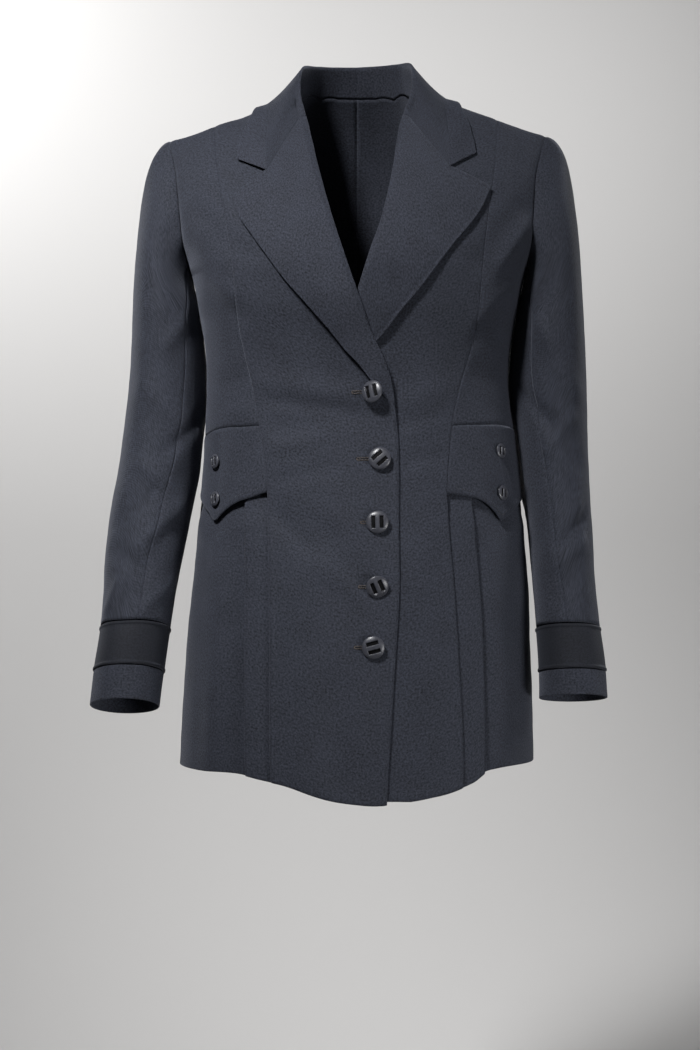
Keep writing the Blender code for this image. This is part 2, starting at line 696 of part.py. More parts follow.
def ring(side, height, angle, grow=0.0):
    """Point of the sleeve's outer face: angle 0 is the outer side, 90 the front, 180 the body's side."""
    table = SLEEVE[side]
    height, angle = np.broadcast_arrays(np.asarray(height, float), np.asarray(angle, float) % 360)
    turned = np.radians(angle)
    for angle_0, z_0, angle_1, z_1, width, rise_by in SLEEVE_FOLDS[side]:
        run = np.array([(angle_1 - angle_0) * 0.8, z_1 - z_0])
        share = ((angle - angle_0) * 0.8 * run[0] + (height - z_0) * run[1]) / (run @ run)
        share = np.clip(share, 0, 1)
        near = np.hypot((angle - angle_0) * 0.8 - share * run[0], height - z_0 - share * run[1])
        grow = grow + rise_by * np.exp(-((near / width) ** 2))
    across = (column(table, height, 2) + grow) * side * np.cos(turned)
    deep = -(column(table, height, 4) + grow) * np.sin(turned)
    tilt = np.tan(np.radians(column(table, height, 5)))
    x = column(table, height, 1) + across
    return np.stack([x, column(table, height, 3) + deep, height - deep * tilt], -1)


def armhole(side, angle):
    """Point of the armhole, the torso's normal there, and the direction across the seam, by the sleeve's angle."""
    index = SIDE_INDEX[side]
    fine = np.linspace(TOP_LEVEL, 0, 400) ** 1.0
    before = np.stack([side * column(ARMHOLE, fine, index), fine], -1)
    after = np.stack([side * column(ARMHOLE, fine, 3), fine], -1)[::-1]
    loop = []
    for part in (before, after):
        spots = skin(part[:, 0], part[:, 1])
        length = np.concatenate([[0], np.cumsum(np.linalg.norm(np.diff(spots, axis=0), axis=1))])
        loop.append((length / length[-1], part))
    angle = np.asarray(angle, float) % 360
    first = angle < 180
    share = np.where(first, angle / 180, angle / 180 - 1)
    found = []
    for i in (0, 1):
        values = [np.interp(share, length, part[:, i]) for length, part in loop]
        found.append(np.where(first, values[0], values[1]))
    turns, levels = found
    return turns, levels


def head(side, share, angle):
    """Point of the sleeve's outer face between the armhole and the first ring."""
    turns, levels = armhole(side, angle)
    near = armhole(side, angle + 1.5)
    far = armhole(side, angle - 1.5)
    start = skin(turns, levels)
    out = normal(turns, levels)
    run = skin(*near) - skin(*far)
    hole = np.cross(run, out) * -side
    hole /= np.linalg.norm(hole, axis=-1, keepdims=True)
    under = (1 - np.cos(np.radians(angle))) / 2
    under = under[..., None]
    start = start + out * 0.55 + hole * 0.6 * (1 - under)
    down = np.array([0, 0, -1.0])
    stand = HEAD_RAISE[side] * (1 - under) ** 2 + 1.9 * under * (1 - under) + 0.5 * under
    lead = hole * (1 - under) + out * stand + down * 0.9 * under**3
    lead /= np.linalg.norm(lead, axis=-1, keepdims=True)
    end = ring(side, HEAD_END, angle)
    fall = (start[..., 2] - end[..., 2])[..., None]
    outer = (1 - under) ** 2
    below = end - ring(side, HEAD_END - 12, angle)
    below /= np.linalg.norm(below, axis=-1, keepdims=True)
    rise_way = below * outer - down * (1 - outer)
    first = start + lead * ((31 - 22 * under) * (1 - outer) + HEAD_REACH[side] * outer)
    second = end + rise_way * fall * (0.55 - 0.1 * under + HEAD_SQUARE[side] * outer)
    s = np.asarray(share, float)[..., None]
    return (1 - s) ** 3 * start + 3 * s * (1 - s) ** 2 * first + 3 * s**2 * (1 - s) * second + s**3 * end


def sleeve_piece(name, side, from_index, to_index, count):
    total = len(HEAD_ROWS) + len(SLEEVE_ROWS)
    grids = []
    for shift in (0, -1, 1):
        rows = []
        for number in range(total):
            share = number / (total - 1)
            start = float(column(SLEEVE_SEAMS, share, from_index)) + 0.36
            end = float(column(SLEEVE_SEAMS, share, to_index)) - 0.36
            angles = np.linspace(start, end + 360 * (end < start), count) + shift
            if number < len(HEAD_ROWS):
                rows.append(head(side, HEAD_ROWS[number], angles))
            else:
                rows.append(ring(side, SLEEVE_ROWS[number - len(HEAD_ROWS)], angles))
        grids.append(np.array(rows))
    outer, before, after = grids
    out = np.cross(after - before, np.gradient(outer, axis=0)) * side
    out /= np.linalg.norm(out, axis=-1, keepdims=True)
    wall(name, "sleeve", outer, outer - out * CLOTH)


def tube(name, kind, side, stations):
    """A closed ring of cloth round the wrist, from its stations of height and growth."""
    angles = np.arange(0, 360, 18)
    heights = np.array([row[0] for row in stations], float)[:, None]
    grow = np.array([row[1] for row in stations], float)[:, None]
    outer = ring(side, heights, angles[None, :], grow)
    inner = ring(side, heights, angles[None, :], np.minimum(grow, 0.6) - CLOTH)
    wall(name, kind, outer, inner, around=True)


def sleeve(side):
    name = SIDE_NAME[side]
    sleeve_piece("top_sleeve_" + name, side, 2, 1, 12)
    sleeve_piece("under_sleeve_" + name, side, 1, 2, 7)
    top, low = CUFF_BAND
    band = [(top, 0.9), (top - 2, 1.5), (top - 4.5, 0.6), (low + 4.5, 0.6), (low + 2, 1.5), (low, 0.9)]
    tube("cuff_band_" + name, "cuff_band", side, band)
    tube("cuff_" + name, "cuff", side, [(low - 0.6, 0.0), (-609, 0.0), (CUFF_HEM[side], 0.2)])


# name, X, Z, radius, turn of the slots in degrees, height of its back above the cloth
BUTTONS = (
    ("front_button_1", 15.1, -309.8, 11.25, 20, 4.6),
    ("front_button_2", 22.1, -376.3, 11.25, -50, 1.4),
    ("front_button_3", 19.8, -439.5, 11.25, 0, 1.4),
    ("front_button_4", 19.6, -503.3, 11.25, 20, 1.4),
    ("front_button_5", 15.6, -562.8, 11.25, -77, 1.4),
    ("side_button_right_upper", -142.6, -377.4, 7.5, 0, 1.2),
    ("side_button_right_lower", -142.3, -415.6, 7.5, 90, 1.2),
    ("side_button_left_upper", 144.0, -366.9, 7.5, 90, 1.2),
    ("side_button_left_lower", 145.7, -409.6, 7.5, 0, 1.2),
)
# share of the radius, share of the dome's height
DOME = ((0.92, 0.0), (1.0, 0.25), (0.93, 0.52), (0.66, 0.80), (0.30, 0.96))
SHANK_RADIUS = 0.27
DOME_HEIGHT = 0.34
SLOT = (0.62, 0.09, 0.26)  # half length, half width, distance from the middle, as shares of the radius


def button(name, x, z, radius, slot_turn, gap):
    lift = 0.9 + float(front_rise(x, z)) if abs(x) < 60 else 1.2
    base = on_front(x, z, lift)
    out = on_front(x, z, lift + 1.0) - base
    side_way = np.cross([0, 0, 1.0], out) * -1
    side_way /= np.linalg.norm(side_way)
    up = np.cross(out, side_way)
    up = up if up[2] > 0 else -up
    segments = 16 if radius > 10 else 12
    profile = [(SHANK_RADIUS, 0.0), (SHANK_RADIUS, gap / radius)]
    profile += [(share, gap / radius + DOME_HEIGHT * high) for share, high in DOME]
    points, faces = [(0, 0, 0)], []
    for wide, high in profile:
        for i in range(segments):
            angle = math.tau * i / segments
            points.append((wide * math.cos(angle), wide * math.sin(angle), high))
    points.append((0, 0, gap / radius + DOME_HEIGHT))
    for i in range(segments):
        after = (i + 1) % segments
        faces.append((0, 1 + after, 1 + i))
        for row in range(len(profile) - 1):
            a, b = 1 + row * segments + i, 1 + row * segments + after
            faces += [(a, b, b + segments), (a, b + segments, a + segments)]
        top = 1 + (len(profile) - 1) * segments
        faces.append((top + i, top + after, len(points) - 1))
    points = np.array(points) * radius
    frame = np.array([side_way, up, out])
    body = add_mesh(name, "button", points @ frame + base, faces)
    long_half, wide_half, away = (share * radius for share in SLOT)
    for number, shift in enumerate((-away, away)):
        spin = math.radians(slot_turn)
        corners = []
        for deep in (gap + DOME_HEIGHT * radius * 0.72, gap + DOME_HEIGHT * radius + 2):
            for a, b in ((-1, 0), (-0.85, -1), (0.85, -1), (1, 0), (0.85, 1), (-0.85, 1)):
                spot = (shift + b * wide_half, a * long_half)
                turned_x = spot[0] * math.cos(spin) + spot[1] * math.sin(spin)
                turned_y = spot[1] * math.cos(spin) - spot[0] * math.sin(spin)
                corners.append((turned_x, turned_y, deep))
        faces = [(0, k + 1, k) for k in range(1, 5)] + [(6, 6 + k, 7 + k) for k in range(1, 5)]
        for k in range(6):
            after = (k + 1) % 6
            faces += [(k, after, 6 + after), (k, 6 + after, 6 + k)]
        cutter = add_mesh(f"{name}_slot_{number}", "button", np.array(corners) @ frame + base, faces)
        cutter.hide_render = True
        cutter.display_type = "WIRE"
        cut = body.modifiers.new("slot", "BOOLEAN")
        cut.object = cutter
        cut.operation = "DIFFERENCE"
        cut.solver = "EXACT"


for side in (-1, 1):
    front(side)
    side_front(side)
    waist_band(side)
    skirt(side)
    back(side)
    lapel(side)
    sleeve(side)
collar()
for row in BUTTONS:
    button(*row)
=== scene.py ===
"""The jacket dressed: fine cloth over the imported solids, seams, roll of the lapels, pleats, buttons and stitches."""

import functools
import math

import bmesh
import bpy
import numpy as np
from mathutils import Matrix, Vector


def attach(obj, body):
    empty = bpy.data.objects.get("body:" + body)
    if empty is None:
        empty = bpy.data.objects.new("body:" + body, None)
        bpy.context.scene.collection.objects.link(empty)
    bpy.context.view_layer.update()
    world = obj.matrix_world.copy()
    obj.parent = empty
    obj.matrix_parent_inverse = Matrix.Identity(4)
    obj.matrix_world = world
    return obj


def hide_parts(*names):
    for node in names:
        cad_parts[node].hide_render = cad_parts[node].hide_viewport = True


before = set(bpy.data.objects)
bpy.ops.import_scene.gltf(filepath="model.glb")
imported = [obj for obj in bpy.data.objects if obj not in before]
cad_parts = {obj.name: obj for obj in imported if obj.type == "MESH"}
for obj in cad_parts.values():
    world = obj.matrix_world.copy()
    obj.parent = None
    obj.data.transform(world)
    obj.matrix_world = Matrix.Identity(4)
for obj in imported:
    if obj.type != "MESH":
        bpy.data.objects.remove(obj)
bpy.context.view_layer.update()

# Sizes

# The garment is laid out in millimetres, with the neck point at 0, and a mesh is made in metres.
# A table by side has the wearer's right at -1 and the left at 1.
METRE = 0.001  # a millimetre in metres
CLOTH = 1.6  # thickness of one layer
SEWN = 0.04  # gap that is left between two sewn pieces
ARMPIT = -186.0  # height of the underarm point, with the neck point at 0
SHOULDER = -42.0  # height of the shoulder seam at the sleeve
LEVEL = 228.0  # height of one level below the underarm
TOP_LEVEL = 0.985  # the shoulder seam leaves this much of a level free
RIDGE_DEPTH = 3.0  # the shoulder seam lies this far behind the middle
SIDE_SEAM = 93.0  # turn of the side seam, from the centre front
HEM = -700.0  # nominal height of the hem
HEM_EASE = 148.0  # the rows follow the curve of the hem within this height
BACK_HEM = -687.0  # height of the back's hem
LEFT_HEM = -714.5  # the left front, which lies under the right one, ends no lower than this
# height, half width right and left, depth of front and back, squareness of the section
BODY = (
    (-730, 185, 185, 143, 144, 2.15),
    (-690, 183.5, 183.5, 142, 142, 2.15),
    (-640, 181.5, 182, 140, 139, 2.15),
    (-580, 177.5, 180.5, 137, 135, 2.15),
    (-520, 172.5, 178.5, 132, 128, 2.15),
    (-460, 166.5, 174, 125, 118, 2.15),
    (-400, 160.5, 169.5, 116, 106, 2.2),
    (-350, 157.5, 163, 109, 96, 2.25),
    (-300, 156, 157, 107, 91, 2.3),
    (-260, 158, 159, 114, 95, 2.3),
    (-220, 164, 166, 125, 105, 2.3),
    (-186, 171, 173, 128, 112, 2.3),
    (-150, 187, 189, 122, 114, 2.3),
    (-110, 198, 200, 113, 112, 2.3),
    (-70, 203, 205, 104, 106, 2.3),
    (-42, 205, 207, 98, 100, 2.3),
)
# distance from the middle, height of the shoulder line right and left, height that the back aims at
RIDGE = (
    (0, 14, 16, 72),
    (25, 13, 15, 65),
    (45, 10, 12, 42),
    (62, 3, 6, 12),
    (80, -4, 1, -2),
    (105, -12, -6, -9),
    (120, -18, -11, -14),
    (140, -24, -18, -20),
    (170, -35, -29, -32),
    (197, -43.5, -38, -41),
    (210, -48, -43, -46),
)
# height, the princess seam's distance from the middle, right and left
PRINCESS = (
    (-725, -84.5, 106.0),
    (-655, -87.4, 104.9),
    (-600, -87.5, 102.6),
    (-550, -87.7, 99.6),
    (-500, -88.2, 96.4),
    (-455, -89.0, 92.3),
    (-410, -90.3, 89.8),
    (-375, -93.5, 91.8),
    (-341, -98.7, 95.2),
    (-300, -107.0, 104.5),
    (-265, -115.0, 114.6),
    (-230, -121.3, 121.2),
    (-190, -124.6, 125.0),
    (-150, -130.3, 129.7),
    (-110, -137.3, 134.8),
    (-70, -144.0, 141.0),
    (-25, -148.5, 145.5),
)
# height, the front edge below the break and the roll line and neckline above it, right and left
EDGE = (
    (-725, 28.0, -8.0),
    (-673, 30.1, -5.0),
    (-634, 33.1, -4.0),
    (-590, 36.1, -3.0),
    (-555, 38.8, -3.0),
    (-516, 41.1, -3.0),
    (-437, 41.3, -3.0),
    (-387, 41.5, -3.0),
    (-342, 39.6, -3.0),
    (-307, 33.2, -3.5),
    (-276, 21.9, -4.5),
    (-250, 10.0, -4.0),
    (-220, -0.5, 1.4),
    (-195, -9.5, 8.5),
    (-170, -18.0, 16.4),
    (-145, -26.1, 25.4),
    (-113, -35.2, 33.6),
    (-82, -43.0, 39.7),
    (-50, -50.0, 44.5),
    (-26, -55.4, 50.0),
    (-14, -59.4, 57.0),
    (-2, -64.6, 62.8),
    (8, -67.5, 67.5),
)
# distance from the middle along X, height of the hem in front
HEM_LINE = (
    (-190, -688.0),
    (-157, -689.5),
    (-117, -690.0),
    (-100, -693.7),
    (-84, -697.0),
    (-66, -701.3),
    (-47, -707.8),
    (-27, -713.4),
    (-5, -716.7),
    (17, -718.5),
    (42, -716.0),
    (57, -713.9),
    (72, -711.3),
    (92, -707.2),
    (105, -702.8),
    (117, -697.6),
    (130, -688.5),
    (143, -686.0),
    (190, -684.0),
)
# turn, height of the waist band's top and lower edge, right and left
BAND = (
    (24, -342, -406.0, -344.0, -408.5),
    (33, -342, -409.0, -342.5, -410.5),
    (39, -342.5, -413.5, -341.5, -413.0),
    (45, -343, -417.0, -341.0, -416.5),
    (49, -343, -420.5, -340.8, -421.5),
    (53, -343, -425.5, -340.5, -429.0),
    (57, -343.5, -432.0, -340.0, -437.0),
    (60, -344, -437.0, -340.0, -434.0),
    (66, -345.5, -430.0, -340.5, -428.0),
    (76, -349, -420.0, -342.0, -419.5),
    (93, -351, -411.0, -344.0, -413.0),
)
# share of the armhole's height, turn of its front edge right and left, turn of its back edge
ARMHOLE = (
    (0.0, 93.0, 93.0, 93.0),
    (0.02, 86.0, 85.0, 99.5),
    (0.05, 81.5, 79.5, 104.0),
    (0.10, 76.5, 74.0, 109.0),
    (0.20, 70.5, 67.5, 114.0),
    (0.32, 67.0, 64.0, 116.5),
    (0.45, 66.0, 62.8, 117.0),
    (0.60, 67.5, 65.0, 115.5),
    (0.80, 69.5, 68.0, 112.5),
    (1.0, 70.3, 69.6, 109.9),
)
# start and end of a soft fold on the front as X and Z, its half width, its height (minus is a hollow)
FOLDS = (
    (-176, -150, -128, -205, 13, 3.0),
    (-168, -128, -112, -170, 12, -2.5),
    (172, -142, 140, -205, 14, 4.0),
    (166, -120, 122, -178, 13, -3.5),
    (150, -205, 112, -255, 14, 2.5),
    (-95, -300, 10, -315, 12, 2.0),
    (-80, -345, 8, -330, 13, -2.0),
    (52, -318, 100, -300, 12, 2.0),
    (50, -345, 105, -335, 12, -2.0),
    (-86, -420, -30, -455, 15, -2.0),
    (-30, -455, 15, -505, 15, -1.6),
    (60, -470, 62, -660, 22, 2.2),
    (-45, -500, -48, -690, 22, 2.2),
)
# start and end of a small crease on the front as X and Z, its half width, its height (minus is a hollow)
CREASES = (
    (-182, -118, -150, -150, 7, 1.6),
    (-178, -160, -140, -196, 7, -2.2),
    (-165, -172, -122, -224, 8, 2.6),
    (-150, -206, -112, -236, 8, -1.6),
    (178, -132, 148, -180, 7, 2.9),
    (170, -158, 140, -214, 8, -3.5),
    (160, -192, 124, -236, 8, 2.6),
    (148, -226, 110, -262, 9, -1.9),
    (-90, -318, -10, -326, 7, -1.4),
    (-86, -366, -30, -352, 8, 1.4),
    (-84, -398, -20, -384, 8, -1.3),
    (44, -352, 88, -340, 7, 1.6),
    (46, -378, 90, -372, 8, -1.4),
    (-84, -432, -40, -470, 9, -2.2),
    (-40, -478, 12, -520, 10, 1.8),
    (-150, -300, -110, -292, 10, -1.4),
    (146, -296, 112, -290, 10, -1.4),
    (-142, -330, -104, -326, 8, 1.3),
    (60, -520, 56, -700, 14, -2.1),
    (-20, -590, -24, -710, 16, -1.9),
    (140, -470, 148, -680, 14, 3.2),
    (-140, -480, -148, -680, 14, 3.2),
    (160, -460, 166, -680, 12, -2.2),
    (-160, -470, -164, -680, 12, -2.2),
)
CREASE_GAIN = 1.45  # the creases on the front stand this much higher than their rows say
# distance from the princess seam, depth of the middle of the cloth: the pleat's layers, top one towards the centre
PLEAT = (
    (-12, -3.7), (-1, -3.6), (6, -2.9), (14, -1.7), (22, -1.2), (27.6, -1.2), (28.9, -1.5), (29.4, -2.3), (28.9, -3.1),
    (27.6, -3.4), (17.2, -3.6), (15.9, -3.9), (15.4, -4.7), (15.9, -5.5), (17.2, -5.8), (31, -5.8),
)
# turn, level of the back's neckline and shoulder seam
BACK_TOP = ((90, TOP_LEVEL), (164.4, TOP_LEVEL), (167.3, 0.76), (171.2, 0.62), (176.1, 0.565), (180, 0.555))
# points of the lapel's free edge as X and Z, from its tip down to the break
LAPEL_EDGE = {
    -1: ((-125.6, -113.8), (-114.9, -136.8), (-101.9, -155), (-86.7, -176.6), (-69.2, -199.5), (-46.9, -224.3),
         (-27.1, -246.2), (-12.3, -265.7), (1.6, -280.5), (13.6, -297.7), (32.5, -321)),
    1: ((133.0, -101.7), (123.2, -123.8), (110.5, -142.4), (97.1, -158.5), (84.9, -174.2), (71.9, -191.5),
        (57.0, -211.5), (42.2, -229.2), (27.4, -248.7), (15.5, -262.5), (3, -282)),
}
# X and Z of the gorge seam's start and end and of the collar's corner, then the height where the lapel breaks
GORGE_START = {-1: (-55.4, -26.0), 1: (50.0, -26.0)}
GORGE_END = {-1: (-89.5, -86.5), 1: (91.0, -82.0)}
COLLAR_CORNER = {-1: (-120.5, -72.0), 1: (119.5, -65.0)}
BREAK = {-1: -322.0, 1: -252.0}
# distance past the roll line, height above the front: how the lapel's cloth turns over
ROLL = ((1.5, -0.8), (2.7, -0.4), (3.3, 0.8), (3.0, 2.2), (1.4, 3.1))
GORGE_SHARE = 0.594  # share of the lapel's and collar's end at which the gorge seam ends
LIES_OVER = {-1: 5.4, 1: 4.0}  # how far the middle of the lapel and the collar lies over the front
LAPEL_FULLNESS = {-1: 2.3, 1: 1.5}  # how much fuller than a hem the lapel's free edge is
# share from the centre back, then X, Y, Z of the neck seam, the fold and the free edge of the collar
COLLAR = (
    (0.00, 0, 67, 10, 0, 54, 45, 0, 79, -9),
    (0.14, 20, 63, 9, 19, 51, 45, 31, 74, -9),
    (0.28, 40, 52, 6.5, 37, 40, 44, 61, 52, -8),
    (0.40, 55, 34, 4, 50, 23, 42, 85, 27, -6),
    (0.52, 65.5, 6, 5, 56, 5, 36, 103, 4, -8),
    (0.62, 64, -8, -3, 57.5, -8, 26, 108.5, -14, -17),
    (0.72, 61.5, -17, -9, 57.5, -18, 12, 113, -27, -31),
    (0.82, 58.5, -27, -17, 55.5, -29, -3, 116.5, -40, -47),
    (0.91, 56.5, -33, -22, 52.5, -38, -14, 119, -50, -60),
    (1.00, 55, -38, -27, 50.5, -46, -24, 120.5, -60, -71),
)
NECK_X = (0, 20, 40, 55, 66)  # distance from the middle of the back's columns at the neck
SHOULDER_LEAN = 0.027  # the left shoulder is higher
# height, middle X, half width in X, middle Y, half depth in Y, tilt of the ring: right sleeve
SLEEVE_RIGHT = (
    (-640, -238.5, 35.0, -52, 44.0, 14),
    (-593, -233.5, 35.7, -44, 44.5, 14),
    (-548, -227.5, 35.5, -34, 45.5, 13),
    (-512, -224.0, 37.0, -25, 47.0, 12),
    (-484, -221.5, 39.5, -18, 48.5, 11),
    (-458, -218.0, 41.0, -11, 50.0, 9),
    (-421, -212.3, 42.0, -4, 52.0, 7),
    (-387, -206.0, 42.5, 2, 53.5, 5),
    (-324, -200.5, 39.8, 7, 55.5, 1),
    (-281, -198.8, 37.5, 7, 57.5, 0),
    (-225, -200.5, 33.0, 5, 60.0, 0),
)
SLEEVE_LEFT = (
    (-640, 221.0, 35.0, -52, 44.0, 9),
    (-583, 219.5, 33.8, -42, 44.5, 9),
    (-538, 215.5, 32.3, -32, 45.5, 9),
    (-499, 213.0, 32.2, -22, 47.0, 8),
    (-458, 211.0, 33.2, -11, 50.0, 7),
    (-421, 208.3, 33.5, -4, 52.0, 6),
    (-387, 206.2, 34.8, 2, 53.5, 4),
    (-324, 202.5, 37.2, 7, 55.5, 1),
    (-281, 201.0, 37.6, 7, 57.5, 0),
    (-225, 203.3, 32.6, 5, 60.0, 0),
)
SLEEVE = {-1: SLEEVE_RIGHT, 1: SLEEVE_LEFT}
HEAD_END = -225.0  # height at which the sleeve's head ends in its first ring
# share of the sleeve's length, angle of the front seam and of the back seam
SLEEVE_SEAMS = ((0, 148, 243), (0.3, 140, 250), (0.65, 118, 268), (1, 98, 282))
CUFF_BAND = (-547.4, -592.6)  # heights of its top and lower edge
CUFF_HEM = {-1: -626.0, 1: -618.0}
HEAD_RAISE = {-1: 0.24, 1: 0.10}  # how much the top of the sleeve stands up from the shoulder
HEAD_REACH = {-1: 27.0, 1: 20.0}  # how far the top of the sleeve runs outward before it turns down
HEAD_SQUARE = {-1: 0.10, 1: 0.33}  # how square its corner is
# start and end of a soft fold on the sleeve as angle and height, half width, height of the fold
SLEEVE_FOLDS = {
    -1: ((60, -300, 140, -350, 14, 2.5), (130, -395, 60, -440, 14, -2.5), (125, -455, 80, -545, 16, -3.0)),
    1: ((120, -240, 60, -300, 14, 2.5), (110, -330, 60, -380, 14, -2.5), (60, -430, 120, -475, 13, 2.5)),
}
# the same for its small creases
SLEEVE_CREASES = {
    -1: ((70, -100, 20, -150, 8, 1.7), (110, -150, 60, -205, 9, -2.2), (150, -215, 95, -262, 9, 2.2),
         (160, -330, 100, -372, 9, -2.2), (60, -380, 120, -410, 8, 2.0), (150, -420, 90, -470, 10, 2.8),
         (40, -470, 100, -500, 9, -2.0), (160, -500, 100, -540, 8, 2.0), (70, -500, 30, -545, 9, 1.7)),
    1: ((60, -90, 110, -140, 8, 2.2), (120, -160, 60, -215, 9, -2.8), (140, -215, 90, -262, 9, 2.2),
        (150, -300, 95, -345, 8, -2.5), (60, -330, 110, -372, 8, 2.2), (40, -430, 100, -470, 8, -3.1),
        (50, -462, 115, -492, 8, 3.4), (70, -500, 125, -528, 8, -2.2)),
}
SLEEVE_CREASE_GAIN = 1.4  # they stand this much higher than their rows say
SLEEVE_CREASES_END = -548.0  # they die out above the cuff band
ROUND = 0.8  # millimetres round the sleeve for a degree
# how far the sleeve's inner side hangs toward the body, and how far down that ends
HANGS = {-1: (5.5, 372), 1: (8.5, 450)}
HANG_TOP, HANG_ANGLE, HANG_SPREAD = -178.0, 200.0, 38.0  # where it starts, its middle and half width in degrees
LIES_FROM = -196.0  # below this the sleeve lies on the body's outer face
BAND_FROM, BAND_LAYER = -322.0, 2.0  # the waist band and the skirt lie this far over it, from here down
SIDE_INDEX = {-1: 1, 1: 2}  # the side's column in a table that has one for each


# Form of the jacket


@functools.lru_cache(maxsize=None)
def keys_of(table, index):
    """A table's first column, another of its columns, and how fast that one changes."""
    rows = np.array(table, float)
    return rows[:, 0], rows[:, index], np.gradient(rows[:, index], rows[:, 0])


def column(table, at, index):
    """Smooth value of a table's column, by its first one."""
    keys, values, slope = keys_of(table, index)
    at = np.asarray(at, float)
    i = np.clip(np.searchsorted(keys, at) - 1, 0, len(keys) - 2)
    gap = keys[i + 1] - keys[i]
    s = np.clip((at - keys[i]) / gap, 0, 1)
    start = (2 * s**3 - 3 * s**2 + 1) * values[i] + (s**3 - 2 * s**2 + s) * gap * slope[i]
    return start + (3 * s**2 - 2 * s**3) * values[i + 1] + (s**3 - s**2) * gap * slope[i + 1]


def ease(value):
    """0 below 0, 1 above 1, smooth between."""
    value = np.clip(value, 0, 1)
    return value * value * (3 - 2 * value)


def unit(ways):
    """The same ways, each of length one."""
    return ways / np.linalg.norm(ways, axis=-1, keepdims=True)


def lengths(points, axis):
    """Distance run along the rows or the columns of a grid, from its first one."""
    step = np.linalg.norm(np.diff(points, axis=axis), axis=-1)
    start = np.zeros_like(np.take(step, [0], axis))
    return np.concatenate([start, np.cumsum(step, axis=axis)], axis)


def along(points, places):
    """Points at these shares of the length of a smooth line."""
    points = np.array(points, float)
    length = lengths(points, 0)
    table = np.column_stack([length / length[-1], points])
    table = tuple(map(tuple, table.tolist()))
    return np.stack([column(table, places, i + 1) for i in range(points.shape[1])], -1)


def hills(table, x, z, scale=1.0):
    """Height of soft folds, each as high at its ends as along its line."""
    total = np.zeros(np.broadcast(x, z).shape)
    for x0, z0, x1, z1, width, height in table:
        run = np.array([(x1 - x0) * scale, z1 - z0], float)
        ahead = x - x0 * scale
        share = np.clip((ahead * run[0] + (z - z0) * run[1]) / (run @ run), 0, 1)
        near = np.hypot(ahead - share * run[0], z - z0 - share * run[1])
        total += height * np.exp(-((near / width) ** 2))
    return total


def creases(table, x, z, scale=1.0):
    """Height of small creases, each along its own line and dying out at both ends."""
    total = np.zeros(np.broadcast(x, z).shape)
    for x0, z0, x1, z1, width, height in table:
        run = np.array([(x1 - x0) * scale, z1 - z0], float)
        ahead = x - x0 * scale
        length = math.hypot(*run)
        along_it = (ahead * run[0] + (z - z0) * run[1]) / length
        over = np.maximum(np.maximum(-along_it, along_it - length), 0)
        near = np.abs(ahead * run[1] - (z - z0) * run[0]) / length
        reach = np.clip(np.minimum(along_it, length - along_it) / (0.35 * length) + 0.5, 0, 1)
        total += height * reach * np.exp(-((near / width) ** 2) - (over / width) ** 2)
    return total


def folds(x, z):
    """Height of the folds of the front at X, Z: the solids' own, then the small ones."""
    return hills(FOLDS, x, z) + CREASE_GAIN * creases(CREASES, x, z)


def ridge(x, back):
    """Height of the shoulder line, or the height that the back aims at behind the neck."""
    away = np.abs(x)
    side = np.where(x < 0, column(RIDGE, away, 1), column(RIDGE, away, 2))
    share = ease((away - 50) / 20)
    behind = column(RIDGE, away, 3) * (1 - share) + side * share
    return np.where(back, behind, side)


def rise(level):
    """Share of the way up from the underarm to the shoulder line."""
    return np.sin(np.clip(level, 0, 1) * math.pi / 2)


def height_of(level):
    """Height at this level at the sleeve, where the shoulder line is lowest."""
    return np.where(level <= 0, ARMPIT + level * LEVEL, ARMPIT + (SHOULDER - ARMPIT) * rise(level))


def half_width(height, x):
    """Half width of the body at this height, on the side of this X."""
    return np.where(x < 0, column(BODY, height, 1), column(BODY, height, 2))


def skin(turn, level):
    """Outer face of the cloth. Turn is in degrees from the centre front, minus to the wearer's right."""
    turn, level = np.broadcast_arrays(np.asarray(turn, float), np.asarray(level, float))
    share, height = rise(level), height_of(level)
    angle = np.radians(turn)
    side, ahead = np.sin(angle), np.cos(angle)
    power = 2 / column(BODY, height, 5)
    x = half_width(height, side) * np.sign(side) * np.abs(side) ** power
    reach = np.abs(ahead) ** power
    back = ahead < 0
    z = np.where(level <= 0, height, ARMPIT + (ridge(x, back) - ARMPIT) * share)
    ahead_y = RIDGE_DEPTH * share - column(BODY, height, 3) * reach * (1 - share**1.8) ** 0.72
    behind_y = RIDGE_DEPTH * share + column(BODY, height, 4) * reach * (1 - share**2.2) ** 0.66
    y = np.where(back, behind_y, ahead_y - folds(x, z) * np.minimum(1, reach * 3))
    return np.stack([x, y, z], -1)


def normal(turn, level):
    """The way out of the cloth there."""
    level = np.asarray(level, float)
    top = np.minimum(level + 0.002, 1.0)
    across = skin(turn + 0.1, level) - skin(turn - 0.1, level)
    up = skin(turn, top) - skin(turn, level - 0.002)
    return unit(np.cross(across, up))


def raised(turn, level, lift):
    """Point of the cloth moved out by the lift."""
    return skin(turn, level) + normal(turn, level) * np.asarray(lift)[..., None]


def turn_at(x, level, back=False):
    """Turn of the point at this X and level."""
    height = height_of(np.asarray(level, float))
    share = np.clip(np.abs(x) / half_width(height, x), 0, 1) ** (column(BODY, height, 5) / 2)
    angle = np.degrees(np.arcsin(share))
    return np.sign(x) * np.where(back, 180 - angle, angle)


def level_at(x, z):
    """Level of the point of the front at this X and height."""
    share = np.clip((z - ARMPIT) / (ridge(x, False) - ARMPIT), 0, 1)
    return np.where(z <= ARMPIT, (z - ARMPIT) / LEVEL, np.arcsin(share) * 2 / math.pi)


def on_front(x, z, lift):
    """Point of the front that is seen at X, Z, moved out by the lift."""
    x, z = np.asarray(x, float), np.asarray(z, float)
    level = level_at(x, z)
    return raised(turn_at(x, level), level, lift)


